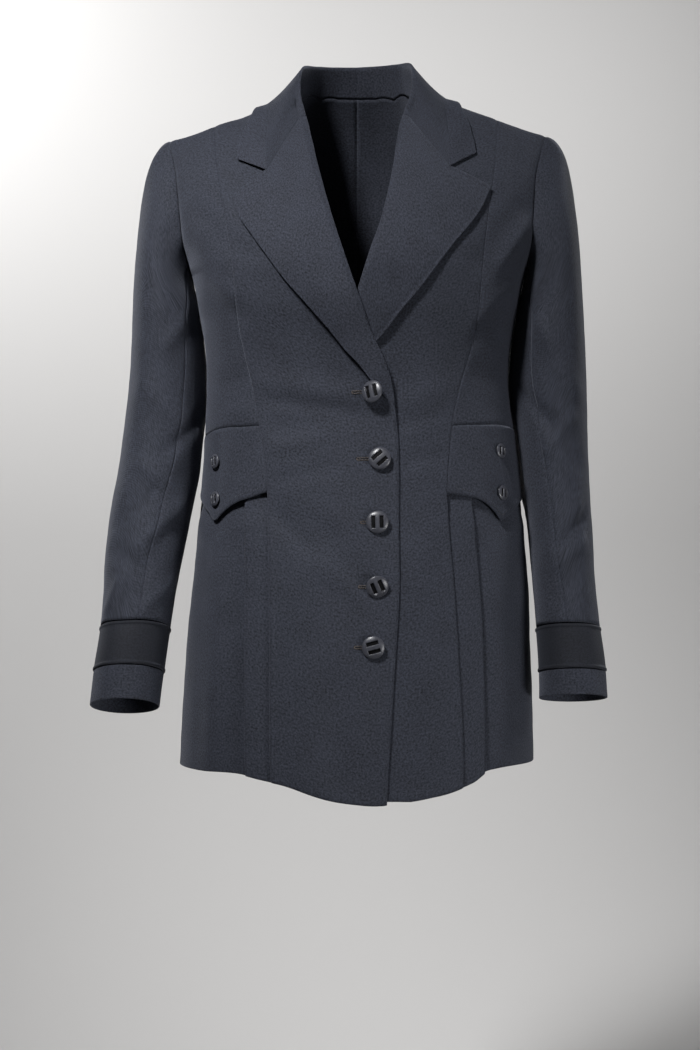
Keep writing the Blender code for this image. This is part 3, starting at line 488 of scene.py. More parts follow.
def seam_turn(table, index, level):
    """Turn of a seam on the front, of which the table gives X by height, at these levels."""
    level = np.asarray(level, float)
    x = column(table, ARMPIT + np.minimum(level, 0) * LEVEL, index)
    for _ in range(12):
        z = np.where(level <= 0, ARMPIT + level * LEVEL, ARMPIT + (ridge(x, False) - ARMPIT) * rise(level))
        x = column(table, z, index)
    return turn_at(x, level)


def moved(turn, level, distance):
    """The turn that is this many millimetres further round."""
    reach = np.linalg.norm(skin(turn + 0.05, level) - skin(turn - 0.05, level), axis=-1) / 0.1
    return turn + distance / reach


def front_rise(x, z):
    """The right front stands off where its lapel rolls over."""
    inside = x - column(EDGE, z, 1) + 60
    return 3.4 * ease(inside / 45) * ease((-185 - z) / 30) * ease((z + 352) / 40)


def front_sink(x, z):
    """The left front lies deeper where the right one laps over it."""
    return -3.9 * ease((72 - x) / 40) * ease((-165 - z) / 45)


FRONT_LIFT = {-1: front_rise, 1: front_sink}


def levels_of(heights):
    """Levels of heights below the underarm."""
    return (np.array(heights, float) - ARMPIT) / LEVEL


def band_level(side, turns, which):
    """Level of the waist band's top (0) or lower edge (1)."""
    return levels_of(column(BAND, np.abs(turns), (1 if side < 0 else 3) + which))


def clear_of_form(points, lift):
    """Points moved out until they are this far from the torso's form."""
    spots, out = FORM
    for _ in range(2):
        nearest = np.argmin(((points[:, None] - spots) ** 2).sum(-1), axis=1)
        height = ((points - spots[nearest]) * out[nearest]).sum(-1)
        points = points + out[nearest] * np.maximum(lift - height, 0)[:, None]
    return points


def form_sample():
    """Points of the chest, shoulders and upper back, and their outward ways."""
    turns = np.linspace(-179.5, 179.5, 240)
    levels = np.linspace(0.3, 0.995, 90)
    turns, levels = np.meshgrid(turns, levels)
    return skin(turns, levels).reshape(-1, 3), normal(turns, levels).reshape(-1, 3)


FORM = form_sample()


def ring(side, height, angle, grow=0.0):
    """Point of the sleeve's outer face: angle 0 is the outer side, 90 the front, 180 the body's side."""
    table = SLEEVE[side]
    height, angle = np.broadcast_arrays(np.asarray(height, float), np.asarray(angle, float) % 360)
    turned, round_it = np.radians(angle), angle * ROUND
    small = creases(SLEEVE_CREASES[side], round_it, height, ROUND) * ease((height - SLEEVE_CREASES_END) / 12)
    grow = grow + hills(SLEEVE_FOLDS[side], round_it, height, ROUND) + SLEEVE_CREASE_GAIN * small
    far, low = HANGS[side]
    hangs = ease((HANG_TOP - height) / 28) * ease((height + low) / 70)
    grow = grow + far * hangs * np.exp(-(((angle - HANG_ANGLE) / HANG_SPREAD) ** 2))
    deep = -(column(table, height, 4) + grow) * np.sin(turned)
    x = column(table, height, 1) + (column(table, height, 2) + grow) * side * np.cos(turned)
    y = column(table, height, 3) + deep
    z = height - deep * np.tan(np.radians(column(table, height, 5)))
    # Where it hangs against the body, it lies on the body's outer face.
    shape = column(BODY, z, 5)
    reach = np.abs(y / np.where(y < 0, column(BODY, z, 3), column(BODY, z, 4))) ** shape
    body = half_width(z, side) * np.maximum(1 - reach, 0) ** (1 / shape)
    body = body + CLOTH + BAND_LAYER * ease((BAND_FROM - z) / 20)
    x = x + (side * np.maximum(side * x, body) - x) * ease((LIES_FROM - height) / 18)
    return np.stack([x, y, z], -1)


@functools.lru_cache(maxsize=None)
def armhole_edge(side):
    """The front and the back edge of the armhole: the share of its length, and turn and level there."""
    fine = np.linspace(TOP_LEVEL, 0, 400)
    before = np.stack([side * column(ARMHOLE, fine, SIDE_INDEX[side]), fine], -1)
    after = np.stack([side * column(ARMHOLE, fine, 3), fine], -1)[::-1]
    loop = []
    for part in (before, after):
        length = lengths(skin(part[:, 0], part[:, 1]), 0)
        loop.append((length / length[-1], part))
    return loop


def armhole(side, angle):
    """Turn and level of the torso's armhole at the sleeve's angle."""
    angle = np.asarray(angle, float) % 360
    first = angle < 180
    share = np.where(first, angle / 180, angle / 180 - 1)
    found = []
    for i in (0, 1):
        ahead, behind = (np.interp(share, length, part[:, i]) for length, part in armhole_edge(side))
        found.append(np.where(first, ahead, behind))
    return found


def head(side, share, angle):
    """Point of the sleeve's outer face between the armhole and the first ring, on a curve of four points."""
    turns, levels = armhole(side, angle)
    out = normal(turns, levels)
    run = skin(*armhole(side, angle + 1.5)) - skin(*armhole(side, angle - 1.5))
    hole = unit(np.cross(run, out) * -side)
    down = np.array([0, 0, -1.0])
    under = ((1 - np.cos(np.radians(angle))) / 2)[..., None]  # 0 at the outer side, 1 under the arm
    outer = (1 - under) ** 2
    start = skin(turns, levels) + out * 0.3 + hole * 0.12 * (1 - under)
    end = ring(side, HEAD_END, angle)
    stand = HEAD_RAISE[side] * outer + 1.9 * under * (1 - under) + 0.5 * under
    lead = unit(hole * (1 - under) + out * stand + down * 0.9 * under**3)
    below = unit(end - ring(side, HEAD_END - 12, angle))
    way = below * outer - down * (1 - outer)
    fall = (start[..., 2] - end[..., 2])[..., None]
    first = start + lead * ((31 - 22 * under) * (1 - outer) + HEAD_REACH[side] * outer)
    second = end + way * fall * (0.55 - 0.1 * under + HEAD_SQUARE[side] * outer)
    s = np.asarray(share, float)[..., None]
    return (1 - s) ** 3 * start + 3 * s * (1 - s) ** 2 * first + 3 * s**2 * (1 - s) * second + s**3 * end


# Cloth and plastic


YARNS = {"Scale": 470, "Detail": 3, "Roughness": 0.62}  # the mixed yarns of the wool, as noise
CLOUDS = {"Scale": 34, "Detail": 4}  # broad unevenness of its dye
TWILL_LEAN = 0.62
YARN_CONTRAST, YARN_START = 3.4, -1.2
RIB_TONE, CLOUD_TONE, TONE_START = 0.16, 0.42, -0.11  # what each adds to the mix of the two colours
RIB_RELIEF, YARN_RELIEF = 0.55, 0.9
WOOL_ROUGHNESS, CLOUD_ROUGHNESS = 0.74, 0.12


def put(name, data):
    """An object of the scene that holds this mesh, light or camera."""
    made = bpy.data.objects.new(name, data)
    bpy.context.scene.collection.objects.link(made)
    return made


def add(tree, kind, values=None, **settings):
    """A node with these settings, and these values on its own sockets."""
    node = tree.nodes.new(kind)
    for key, value in settings.items():
        setattr(node, key, value)
    for label, value in (values or {}).items():
        node.inputs[label].default_value = value
    return node


def join(tree, *pairs):
    """Links from each pair's output to its input."""
    for source, target in pairs:
        tree.links.new(source, target)


def maths(tree, operation, *values):
    node = add(tree, "ShaderNodeMath", operation=operation)
    for socket, value in zip(node.inputs, values):
        if isinstance(value, (int, float)):
            socket.default_value = value
        else:
            tree.links.new(value, socket)
    return node.outputs[0]


def wool_group():
    """Fine twill of a wool suiting: colour of the mixed yarns, their height and roughness. Cloth is in metres."""
    group = bpy.data.node_groups.new("wool_twill", "ShaderNodeTree")
    for label, kind, value in (
        ("Cloth", "NodeSocketVector", (0, 0, 0)),
        ("Dark", "NodeSocketColor", (0.03, 0.03, 0.04, 1)),
        ("Light", "NodeSocketColor", (0.06, 0.06, 0.08, 1)),
        ("Rib Spacing", "NodeSocketFloat", 0.0011),
        ("Fleck", "NodeSocketFloat", 0.5),
    ):
        group.interface.new_socket(label, in_out="INPUT", socket_type=kind).default_value = value
    for label, kind in (("Color", "Color"), ("Height", "Float"), ("Roughness", "Float")):
        group.interface.new_socket(label, in_out="OUTPUT", socket_type="NodeSocket" + kind)
    given = add(group, "NodeGroupInput").outputs
    result = add(group, "NodeGroupOutput").inputs
    split = add(group, "ShaderNodeSeparateXYZ")
    yarns = add(group, "ShaderNodeTexNoise", YARNS)
    clouds = add(group, "ShaderNodeTexNoise", CLOUDS)
    join(group, *((given["Cloth"], node.inputs["Vector"]) for node in (split, yarns, clouds)))
    yarn, cloud = yarns.outputs["Fac"], clouds.outputs["Fac"]
    across = maths(group, "MULTIPLY_ADD", split.outputs["Y"], TWILL_LEAN, split.outputs["X"])
    phase = maths(group, "DIVIDE", across, given["Rib Spacing"])
    wave = maths(group, "SINE", maths(group, "MULTIPLY", phase, math.tau))
    rib = maths(group, "MULTIPLY_ADD", wave, 0.5, 0.5)
    mixed = maths(group, "MULTIPLY_ADD", yarn, YARN_CONTRAST, YARN_START)
    mixed = maths(group, "MULTIPLY", mixed, given["Fleck"])
    mixed = maths(group, "MULTIPLY_ADD", rib, RIB_TONE, mixed)
    mixed = maths(group, "MULTIPLY_ADD", cloud, CLOUD_TONE, mixed)
    mixed = maths(group, "ADD", mixed, TONE_START)
    height = maths(group, "MULTIPLY_ADD", yarn, YARN_RELIEF, maths(group, "MULTIPLY", rib, RIB_RELIEF))
    tone = add(group, "ShaderNodeMix", data_type="RGBA", clamp_factor=True)
    join(
        group,
        (mixed, tone.inputs["Factor"]),
        (given["Dark"], tone.inputs["A"]),
        (given["Light"], tone.inputs["B"]),
        (tone.outputs["Result"], result["Color"]),
        (height, result["Height"]),
        (maths(group, "MULTIPLY_ADD", cloud, CLOUD_ROUGHNESS, WOOL_ROUGHNESS), result["Roughness"]),
    )
    return group


WOOL = wool_group()


def new_material(name, values):
    """A material, its tree and its shader, with these values on the shader's own sockets."""
    made = bpy.data.materials.new(name)
    made.use_nodes = True
    shader = made.node_tree.nodes["Principled BSDF"]
    for label, value in values.items():
        shader.inputs[label].default_value = value
    return made, made.node_tree, shader


def cloth_material(name, dark, light, fleck=0.8, rib=0.0011, sheen=0.14, bump=0.0003):
    made, tree, shader = new_material(
        name,
        {
            "Specular IOR Level": 0.22,
            "Sheen Weight": sheen,
            "Sheen Roughness": 0.5,
            "Sheen Tint": (0.62, 0.66, 0.80, 1),
        },
    )
    mix = {"Dark": (*dark, 1), "Light": (*light, 1), "Fleck": fleck, "Rib Spacing": rib}
    twill = add(tree, "ShaderNodeGroup", mix, node_tree=WOOL)
    cloth = add(tree, "ShaderNodeUVMap", uv_map="cloth")
    relief = add(tree, "ShaderNodeBump", {"Distance": bump, "Strength": 0.8})
    join(
        tree,
        (cloth.outputs["UV"], twill.inputs["Cloth"]),
        (twill.outputs["Color"], shader.inputs["Base Color"]),
        (twill.outputs["Roughness"], shader.inputs["Roughness"]),
        (twill.outputs["Height"], relief.inputs["Height"]),
        (relief.outputs["Normal"], shader.inputs["Normal"]),
    )
    return made


def speckled(tree, shader, dark, light, noise):
    """The shader's colour, mixed of two by a fine noise on the object. It gives that noise back."""
    place = add(tree, "ShaderNodeTexCoord")
    fine = add(tree, "ShaderNodeTexNoise", noise)
    tone = add(tree, "ShaderNodeMix", {"A": (*dark, 1), "B": (*light, 1)}, data_type="RGBA")
    join(
        tree,
        (place.outputs["Object"], fine.inputs["Vector"]),
        (fine.outputs["Fac"], tone.inputs["Factor"]),
        (tone.outputs["Result"], shader.inputs["Base Color"]),
    )
    return fine.outputs["Fac"]


def button_material(name, dark, light, roughness, shine):
    made, tree, shader = new_material(name, {"IOR": 1.7, "Specular IOR Level": shine})
    fine = speckled(tree, shader, dark, light, {"Scale": 260, "Detail": 4})
    relief = add(tree, "ShaderNodeBump", {"Distance": 0.00002})
    join(
        tree,
        (maths(tree, "MULTIPLY_ADD", fine, 0.10, roughness), shader.inputs["Roughness"]),
        (fine, relief.inputs["Height"]),
        (relief.outputs["Normal"], shader.inputs["Normal"]),
    )
    return made


def thread_material(name, dark, light):
    made, tree, shader = new_material(name, {"Roughness": 0.6, "Sheen Weight": 0.2})
    speckled(tree, shader, dark, light, {"Scale": 2600})
    return made


WOOL_CLOTH = cloth_material("charcoal_wool", (0.0058, 0.0066, 0.0095), (0.037, 0.0415, 0.058))
LAPEL_CLOTH = cloth_material("charcoal_wool_lapel", (0.0062, 0.0070, 0.0100), (0.039, 0.0435, 0.061))
BAND_CLOTH = cloth_material(
    "satin_band", (0.0055, 0.0062, 0.0085), (0.0215, 0.024, 0.033), fleck=0.4, rib=0.0016, sheen=0.10, bump=0.00014
)
# The buttons are black plastic: the face's lighter grey-lilac colour and its streaky noise are painted reflection of
# the bright studio.
BUTTON_FACE_PAINTED_REFLECTION = button_material("button_face_painted_reflection", (0.022, 0.023, 0.029), (0.070, 0.073, 0.090), 0.31, 0.32)
# The same plastic in the slots, made near black and barely reflecting: painted shade in the slots.
BUTTON_SLOT_PAINTED_SHADE = button_material("button_slot_painted_shade", (0.001, 0.001, 0.0015), (0.004, 0.004, 0.005), 0.6, 0.06)
HOLE_THREAD = thread_material("buttonhole_thread", (0.030, 0.023, 0.019), (0.085, 0.066, 0.055))
SEAM_THREAD = thread_material("seam_thread", (0.014, 0.015, 0.020), (0.034, 0.036, 0.046))


# Cloth walls


def sew(name, outer, inner, material, free=(), around=False, grain=0.0):
    """A wall of cloth from two grids of points. Its free edges (bottom, top, start, end) are rounded."""
    rows, columns = outer.shape[:2]
    count = rows * columns
    index = np.arange(count).reshape(rows, columns)
    if around:
        left, right = index, np.roll(index, -1, 1)
        loops = [index[0], index[-1][::-1]]
    else:
        left, right = index[:, :-1], index[:, 1:]
        loops = [np.concatenate([index[0], index[1:, -1], index[-1, -2::-1], index[-2:0:-1, 0]])]
    quads = np.stack([left[:-1], right[:-1], right[1:], left[1:]], -1).reshape(-1, 4)
    faces = [quads, quads[:, ::-1] + count]
    out_way = np.zeros_like(outer)
    ends = {"bottom": (0, 1, 0), "top": (-1, -2, 0), "start": (0, 1, 1), "end": (-1, -2, 1)}
    for label in free:
        edge, next_in, axis = ends[label]
        at = (edge, slice(None)) if axis == 0 else (slice(None), edge)
        inside = (next_in, slice(None)) if axis == 0 else (slice(None), next_in)
        out_way[at] += unit(outer[at] - outer[inside])
    flat_outer, flat_inner, way = outer.reshape(-1, 3), inner.reshape(-1, 3), out_way.reshape(-1, 3)
    points, total = [flat_outer, flat_inner], 2 * count
    flat = np.stack([lengths(outer, 1), lengths(outer, 0)], -1).reshape(-1, 2)
    maps = [flat, flat]
    for loop in loops:
        # Two rows of points round off the edge between the outer and the inner face.
        through = flat_inner[loop] - flat_outer[loop]
        bulge = way[loop] * np.linalg.norm(through, axis=-1, keepdims=True) * 0.32
        points += [flat_outer[loop] + bulge + through * 0.24, flat_inner[loop] + bulge - through * 0.24]
        maps += [flat[loop], flat[loop]]
        first = total + np.arange(len(loop))
        second = first + len(loop)
        chain = [loop, first, second, loop + count]
        for a, b in zip(chain, chain[1:]):
            faces.append(np.stack([np.roll(a, -1), a, b, np.roll(b, -1)], -1))
        total += 2 * len(loop)
    points = np.concatenate(points) * METRE
    faces = np.concatenate(faces)
    corners = points[faces[:, :3]]
    if np.einsum("ij,ij->i", corners[:, 0], np.cross(corners[:, 1], corners[:, 2])).sum() < 0:
        faces = faces[:, ::-1]
    mesh = bpy.data.meshes.new(name)
    mesh.from_pydata(points.tolist(), [], faces.tolist())
    turn = np.array([[math.cos(grain), -math.sin(grain)], [math.sin(grain), math.cos(grain)]])
    flat = np.concatenate(maps) * METRE @ turn
    mesh.uv_layers.new(name="cloth").data.foreach_set("uv", flat[faces.reshape(-1)].reshape(-1))
    mesh.materials.append(material)
    mesh.shade_smooth()
    return put(name, mesh)


def thick(name, middle, material, free, relief=None, grain=0.0):
    """A wall with half of the cloth on each side of the grid, and relief on its outer face."""
    out = np.cross(np.gradient(middle, axis=1), np.gradient(middle, axis=0))
    out = out / np.maximum(np.linalg.norm(out, axis=-1, keepdims=True), 1e-9)
    more = 0 if relief is None else relief[..., None]
    outer, inner = middle + out * (CLOTH / 2 + more), middle - out * (CLOTH / 2)
    return sew(name, outer, inner, material, free, grain=grain)


def refine(values, parts):
    """The same run of numbers with this many steps between neighbours."""
    values = np.asarray(values, float)
    at = np.arange((len(values) - 1) * parts + 1) / parts
    return np.interp(at, np.arange(len(values)), values)


def shares(count, crowd=0.6):
    """Numbers from 0 to 1, closer together near both ends."""
    even = np.linspace(0, 1, count)
    return even - crowd * np.sin(2 * math.pi * even) / (2 * math.pi)


def from_edge(points, label):
    """Distance of each point of a grid from one of its edges."""
    run = lengths(points, 0 if label in ("bottom", "top") else 1)
    if label == "top":
        return run[-1:] - run
    if label == "end":
        return run[:, -1:] - run
    return run


def seam_dip(distance):
    """The cloth dips into a pressed seam and swells a little beside it."""
    return -0.38 * np.exp(-((distance / 1.5) ** 2)) + 0.16 * np.exp(-(((distance - 5.5) / 3.4) ** 2))


def free_edge(distance):
    """A turned and pressed edge: fuller behind the edge, thin at it."""
    return 0.34 * np.exp(-(((distance - 3.4) / 2.6) ** 2)) - 0.3 * np.exp(-((distance / 1.3) ** 2))


def handled(points):
    """Slight unevenness of a worn cloth."""
    x, y, z = points[..., 0], points[..., 1], points[..., 2]
    wide = np.sin(x * 0.061 + 1.3 * np.sin(z * 0.017)) * np.sin(z * 0.043 + 0.7 + y * 0.02)
    near = np.sin(x * 0.151 + z * 0.083 + 2.1) * np.sin(z * 0.117 - x * 0.06 + y * 0.09)
    return 0.5 * wide + 0.22 * near


def panel(name, turns, levels, lift=0.0, sewn=(), free=(), extra=None):
    """A piece of the torso: points of the form, with its seams, edges and handling as relief."""
    lift = np.broadcast_to(lift, turns.shape)
    at = raised(turns, levels, lift)
    relief = handled(at)
    for label in sewn:
        relief = relief + seam_dip(from_edge(at, label))
    for label in free:
        relief = relief + free_edge(from_edge(at, label))
    if extra is not None:
        relief = relief + extra(at)
    outer = raised(turns, levels, lift + relief)
    inner = raised(turns, levels, lift - CLOTH + np.minimum(relief, 0.4) * 0.5)
    behind = np.abs(turns) > 100
    for face in (outer, inner):
        # At the shoulder seam, fronts and backs stay on their own side of the line.
        y = face[..., 1]
        clear = np.where(behind, np.maximum(y, RIDGE_DEPTH + SEWN), np.minimum(y, RIDGE_DEPTH - SEWN))
        face[..., 1] = np.where(levels > 0.9, clear, y)
    return sew(name, outer, inner, WOOL_CLOTH, free)


def hemmed(turns, levels, hem_of):
    """Levels with the lowest rows moved to the curve of the hem."""
    at = skin(turns, levels)
    share = np.clip((HEM + HEM_EASE - at[..., 2]) / HEM_EASE, 0, 1)
    return levels + share * (hem_of(at[..., 0]) - HEM) / LEVEL


def between(start, end, rows, share):
    """Turns of a grid from one seam to another, and its levels."""
    return start[:, None] + (end - start)[:, None] * share, np.repeat(rows[:, None], len(share), 1)


# Pieces of the torso

BODY_ROWS = np.concatenate([np.linspace(HEM, HEM + 9, 5)[:-1], np.linspace(HEM + 9, ARMPIT, 112)])
TORSO_ROWS = np.concatenate([levels_of(BODY_ROWS), np.linspace(0, TOP_LEVEL, 42)[1:]])


def front(side, name):
    index = SIDE_INDEX[side]
    edge = seam_turn(EDGE, index, TORSO_ROWS)
    seam = moved(seam_turn(PRINCESS, index, TORSO_ROWS), TORSO_ROWS, -side * SEWN)
    turns, levels = between(edge, seam, TORSO_ROWS, shares(38))
    lowest = -math.inf if side < 0 else LEFT_HEM
    levels = hemmed(turns, levels, lambda x: np.maximum(column(HEM_LINE, x, 1), lowest))
    at = skin(turns, levels)
    lift = FRONT_LIFT[side](at[..., 0], at[..., 2])

    def edges(points):
        """The side edge is sewn down to the waist band and free below it. The front edge is free below the roll."""
        z = points[..., 2]
        seam_part = ease((z + 418) / 10)
        from_seam = from_edge(points, "end")
        pressed = seam_dip(from_seam) * seam_part + free_edge(from_seam) * (1 - seam_part) * 1.2
        front_part = free_edge(from_edge(points, "start")) * ease((-300 - z) / 30)
        return pressed + front_part

    return panel(name, turns, levels, lift, ("top",), ("bottom", "start"), edges)


WAIST_LEVEL = -0.68  # level of the princess seam's end at the waist band
EVEN_LEVEL = -0.35  # below this level the rows turn toward the waist band's slanting top


def side_front(side, name):
    index = SIDE_INDEX[side]
    low = float(band_level(side, seam_turn(PRINCESS, index, WAIST_LEVEL), 0))
    rows = [np.linspace(low, 0, 36)[:-1], np.linspace(0, 0.06, 9)[:-1], np.linspace(0.06, TOP_LEVEL, 42)]
    rows = np.concatenate(rows)
    start = moved(seam_turn(PRINCESS, index, rows), rows, side * SEWN)
    end = side * np.where(rows <= 0, SIDE_SEAM, column(ARMHOLE, rows, index))
    end = np.where(rows <= 0, moved(end, rows, -side * SEWN), end)
    turns, levels = between(start, end, rows, shares(26))
    bottom = band_level(side, turns, 0) + 0.1 / LEVEL
    down = np.clip((EVEN_LEVEL - levels) / (EVEN_LEVEL - low), 0, 1)
    levels = levels + down * (bottom - low)
    return panel(name, turns, levels, sewn=("start", "end", "top", "bottom"))


BAND_POINT = {-1: 60.0, 1: 57.0}  # turn of the point of the waist band's lower edge
BAND_DEPTH = 0.30  # about its depth in levels, by which its end seams are placed


def waist_band(side, name):
    index, point = SIDE_INDEX[side], BAND_POINT[side]
    across = shares(20, 0.5)
    top = band_level(side, side * 40.0, 0)
    rows = []
    for share in across:
        level = top - share * BAND_DEPTH
        start = abs(float(moved(seam_turn(PRINCESS, index, level), level, side * SEWN)))
        end = abs(float(moved(side * SIDE_SEAM, level, -side * SEWN)))
        rows.append(side * np.concatenate([np.linspace(start, point, 25), np.linspace(point, end, 18)[1:]]))
    turns = np.array(rows)
    upper, lower = band_level(side, turns, 0), band_level(side, turns, 1)
    levels = upper + (lower - upper) * across[:, None]
    return panel(name, turns[::-1], levels[::-1], 0.5, ("start", "end", "top"), ("bottom",))


# share of the way from the pleats to the side seam, depth of the cloth there below the band and under it
BESIDE_PLEATS = (
    (0, -5.8, -8.6), (0.16, -4.3, -6.2), (0.34, -2.4, -5.0), (0.54, -1.2, -4.2), (0.76, -0.8, -3.8), (1.0, -0.8, -3.8),
)
SKIRT_LOW, SKIRT_TOP = -695, -415  # heights at which its rows' turns are taken
UNDER_BAND = 2.8  # how much deeper the pleats lie under the waist band


def pleated_skirt(side, name):
    index = SIDE_INDEX[side]
    path = along(PLEAT, np.linspace(0, 1, 74))
    more = np.linspace(0, 1, 27)[1:]
    ways, open_depth, shut_depth = np.array(BESIDE_PLEATS).T
    open_depth, shut_depth = np.interp(more, ways, open_depth), np.interp(more, ways, shut_depth)
    middle = []
    for share in np.concatenate([np.linspace(0, 0.03, 5)[:-1], np.linspace(0.03, 1, 64)]):
        level = levels_of([SKIRT_LOW + share * (SKIRT_TOP - SKIRT_LOW)])[0]
        start = float(seam_turn(PRINCESS, index, level))
        stretch = 1.0 if side < 0 else (0.9 + 0.15 * min(1.0, share * 2))
        turns = moved(start, level, side * path[:, 0] * stretch)
        end = side * SIDE_SEAM - side * 0.1
        turns = np.concatenate([turns, turns[-1] + (end - turns[-1]) * more])
        under = ease((share - 0.86) / 0.1)
        depths = np.concatenate([path[:, 1] - UNDER_BAND * under, open_depth * (1 - under) + shut_depth * under])
        at = skin(turns, level)
        low = levels_of(np.where(at[:, 0] * side > 0, column(HEM_LINE, at[:, 0], 1), 0))
        high = band_level(side, turns, 1) + 10 / LEVEL
        levels = low + (high - low) * share
        points = raised(turns, levels, depths)
        middle.append(raised(turns, levels, depths + handled(points) * (1 - under)))
    return thick(name, np.array(middle), WOOL_CLOTH, ("bottom",))


def back(side, name):
    end = np.where(TORSO_ROWS <= 0, SIDE_SEAM, column(ARMHOLE, TORSO_ROWS, 3))
    end = np.where(TORSO_ROWS <= 0, np.abs(moved(side * end, TORSO_ROWS, side * SEWN)), end)
    top_turns, top_levels = np.array(BACK_TOP).T
    neck = refine(top_turns[:0:-1], 5)
    turns = np.array([np.concatenate([neck, neck[-1] + (e - neck[-1]) * shares(24, 0.3)[1:]]) for e in end])
    top = np.interp(turns, top_turns, top_levels)
    levels = np.where(TORSO_ROWS[:, None] > 0, TORSO_ROWS[:, None] * top / TOP_LEVEL, TORSO_ROWS[:, None])
    levels = hemmed(turns, levels, lambda x: np.full(x.shape, BACK_HEM))
    return panel(name, side * turns, levels, sewn=("start", "end", "top"), free=("bottom",))


# Lapels and collar

# The numbers of points across: round the lapel's roll, up the collar's stand and over its fold, along the notch.
ROLL_POINTS, STAND_POINTS, NOTCH_POINTS = 10, 14, 16
ACROSS = np.concatenate([
    GORGE_SHARE * shares(22, 0.3)[1:],
    GORGE_SHARE + (1 - GORGE_SHARE) * shares(NOTCH_POINTS + 1, 0.6)[1:],
])
SUNK = -0.8  # height above the front at which the lapel's and the collar's sewn edges start


def gorge_path(side, corner, share):
    """X and Z along the end of the lapel or the collar: the gorge seam, then the notch."""
    start, end = np.array(GORGE_START[side]), np.array(GORGE_END[side])
    if share <= GORGE_SHARE:
        return start + (end - start) * share / GORGE_SHARE
    return end + (np.array(corner) - end) * (share - GORGE_SHARE) / (1 - GORGE_SHARE)


def lapel_column(side, share):
    """The middle of the lapel's cloth across it: round the roll, then to the free edge."""
    index = SIDE_INDEX[side]
    z = BREAK[side] + (GORGE_START[side][1] - BREAK[side]) * share
    start = np.array([float(column(EDGE, z, index)), z])
    end = along(LAPEL_EDGE[side][::-1], share)
    lean = float(column(EDGE, z + 2, index) - column(EDGE, z - 2, index)) / 4
    toward = np.array([1, -lean]) * -side / math.hypot(1, lean)
    roll = along(ROLL, np.linspace(0, 1, ROLL_POINTS))
    stands = float(ease(share / 0.14))  # the lapel's end melts into the front's edge
    spots = [start + toward * past * (0.15 + 0.85 * stands) for past, _ in roll]
    lifts = [SUNK + (lift - SUNK) * stands for _, lift in roll]
    tip = np.array(LAPEL_EDGE[side][0])
    for across in ACROSS:
        kink = gorge_path(side, tip, across) - (np.array(GORGE_START[side]) * (1 - across) + tip * across)
        spots.append(start + (end - start) * across + kink * share**5)
        high = LIES_OVER[side] + 0.9 * math.sin(math.pi * across) * (0.4 + 0.6 * share)
        lifts.append(SUNK + (high - SUNK) * stands)
    x, z = np.array(spots).T
    return on_front(x, z, np.array(lifts) + FRONT_LIFT[side](x, z))


def lapel(side, name):
    middle = np.array([lapel_column(side, share) for share in shares(64, 0.3) ** 0.9])
    edge = free_edge(from_edge(middle, "end")) * LAPEL_FULLNESS[side]
    top = free_edge(from_edge(middle, "top")) * 1.3 + 0.2 * handled(middle)
    return thick(name, middle, LAPEL_CLOTH, ("end", "top", "bottom"), (edge + top) * -side, grain=0.6)


def collar_column(side, share):
    """The middle of the collar's cloth across it: up from the neck seam, over the fold, down to the free edge."""
    row = np.array([float(column(COLLAR, share, i)) for i in range(1, 10)])
    neck, fold, edge = row[:3], row[3:6], row[6:]
    for point in (fold, edge):
        point[0] *= side
        point[2] += SHOULDER_LEAN * point[0]
    level = np.interp(neck[0], NECK_X, [top[1] for top in BACK_TOP[::-1]][: len(NECK_X)])
    behind = raised(turn_at(side * max(neck[0], 0.01), level, True), level, SUNK)
    before = on_front(float(column(EDGE, neck[2], SIDE_INDEX[side])), neck[2], SUNK)
    neck = behind + (before - behind) * ease((share - 0.37) / 0.16)
    up, out = unit(fold - neck), unit(edge - fold)
    small = 0.6 + 0.4 * ease((1 - share) * 4)
    base = neck + up * 0.7
    points = [base, base + (fold - base) * 0.5, fold - up * 3.0 * small, fold + out * 1.2 * small]
    start = fold + out * 4.2 * small - up * 1.2 * small
    points = list(along([*points, start], np.linspace(0, 1, STAND_POINTS)))
    for across in ACROSS:
        spot = start + (edge - start) * across
        spot[2] -= 4.0 * math.sin(math.pi * across) * ease((1 - share) * 2.5)
        points.append(spot)
    points = np.array(points)
    points[STAND_POINTS - 1 :] = clear_of_form(points[STAND_POINTS - 1 :], 3.6)
    return points


def collar_end(side):
    """The collar's end column, which meets the lapel's along the gorge and then leaves it at the notch."""
    end = lapel_column(side, 1.0)
    gorge = len(end) - NOTCH_POINTS
    corner = []
    for across in ACROSS[-NOTCH_POINTS:]:
        x, z = gorge_path(side, COLLAR_CORNER[side], across)
        corner.append(on_front(x, z, LIES_OVER[side]))
    rolled = along(end[:ROLL_POINTS], np.linspace(0, 1, STAND_POINTS))
    end = np.concatenate([rolled, end[ROLL_POINTS:gorge], corner])
    end[: gorge + 4] += np.array([side * 0.5, -0.3, 0.8])
    return end


def collar(name):
    middle = []
    for side in (-1, 1):
        change = collar_end(side) - collar_column(side, 1.0)
        half = []
        for share in shares(70, 0.3):
            weight = ease((share - 0.45) / 0.55) ** 1.5
            plain = collar_column(side, share)
            points = plain + change * weight
            # The fall lies on the front: its depth there comes from the front's own form.
            flat, went = plain[STAND_POINTS:], points[STAND_POINTS:]
            off = flat[:, 1] - on_front(flat[:, 0], flat[:, 2], LIES_OVER[side])[:, 1]
            laid = on_front(went[:, 0], went[:, 2], LIES_OVER[side])[:, 1] + off * (1 - weight)
            lies = ease((weight - 0.25) * 2) * ease((ridge(flat[:, 0], False) - flat[:, 2]) / 22)
            points[STAND_POINTS:, 1] += (laid - went[:, 1]) * lies
            half.append(points)
        middle += half[::-1] if side < 0 else half[1:]
    middle = np.array(middle)
    relief = 0.15 * handled(middle)
    for label, fullness in (("end", 1.2), ("top", 0.8), ("bottom", 0.8)):
        relief = relief + free_edge(from_edge(middle, label)) * fullness
    return thick(name, middle, LAPEL_CLOTH, ("end", "top", "bottom"), relief)


# Sleeves and cuffs

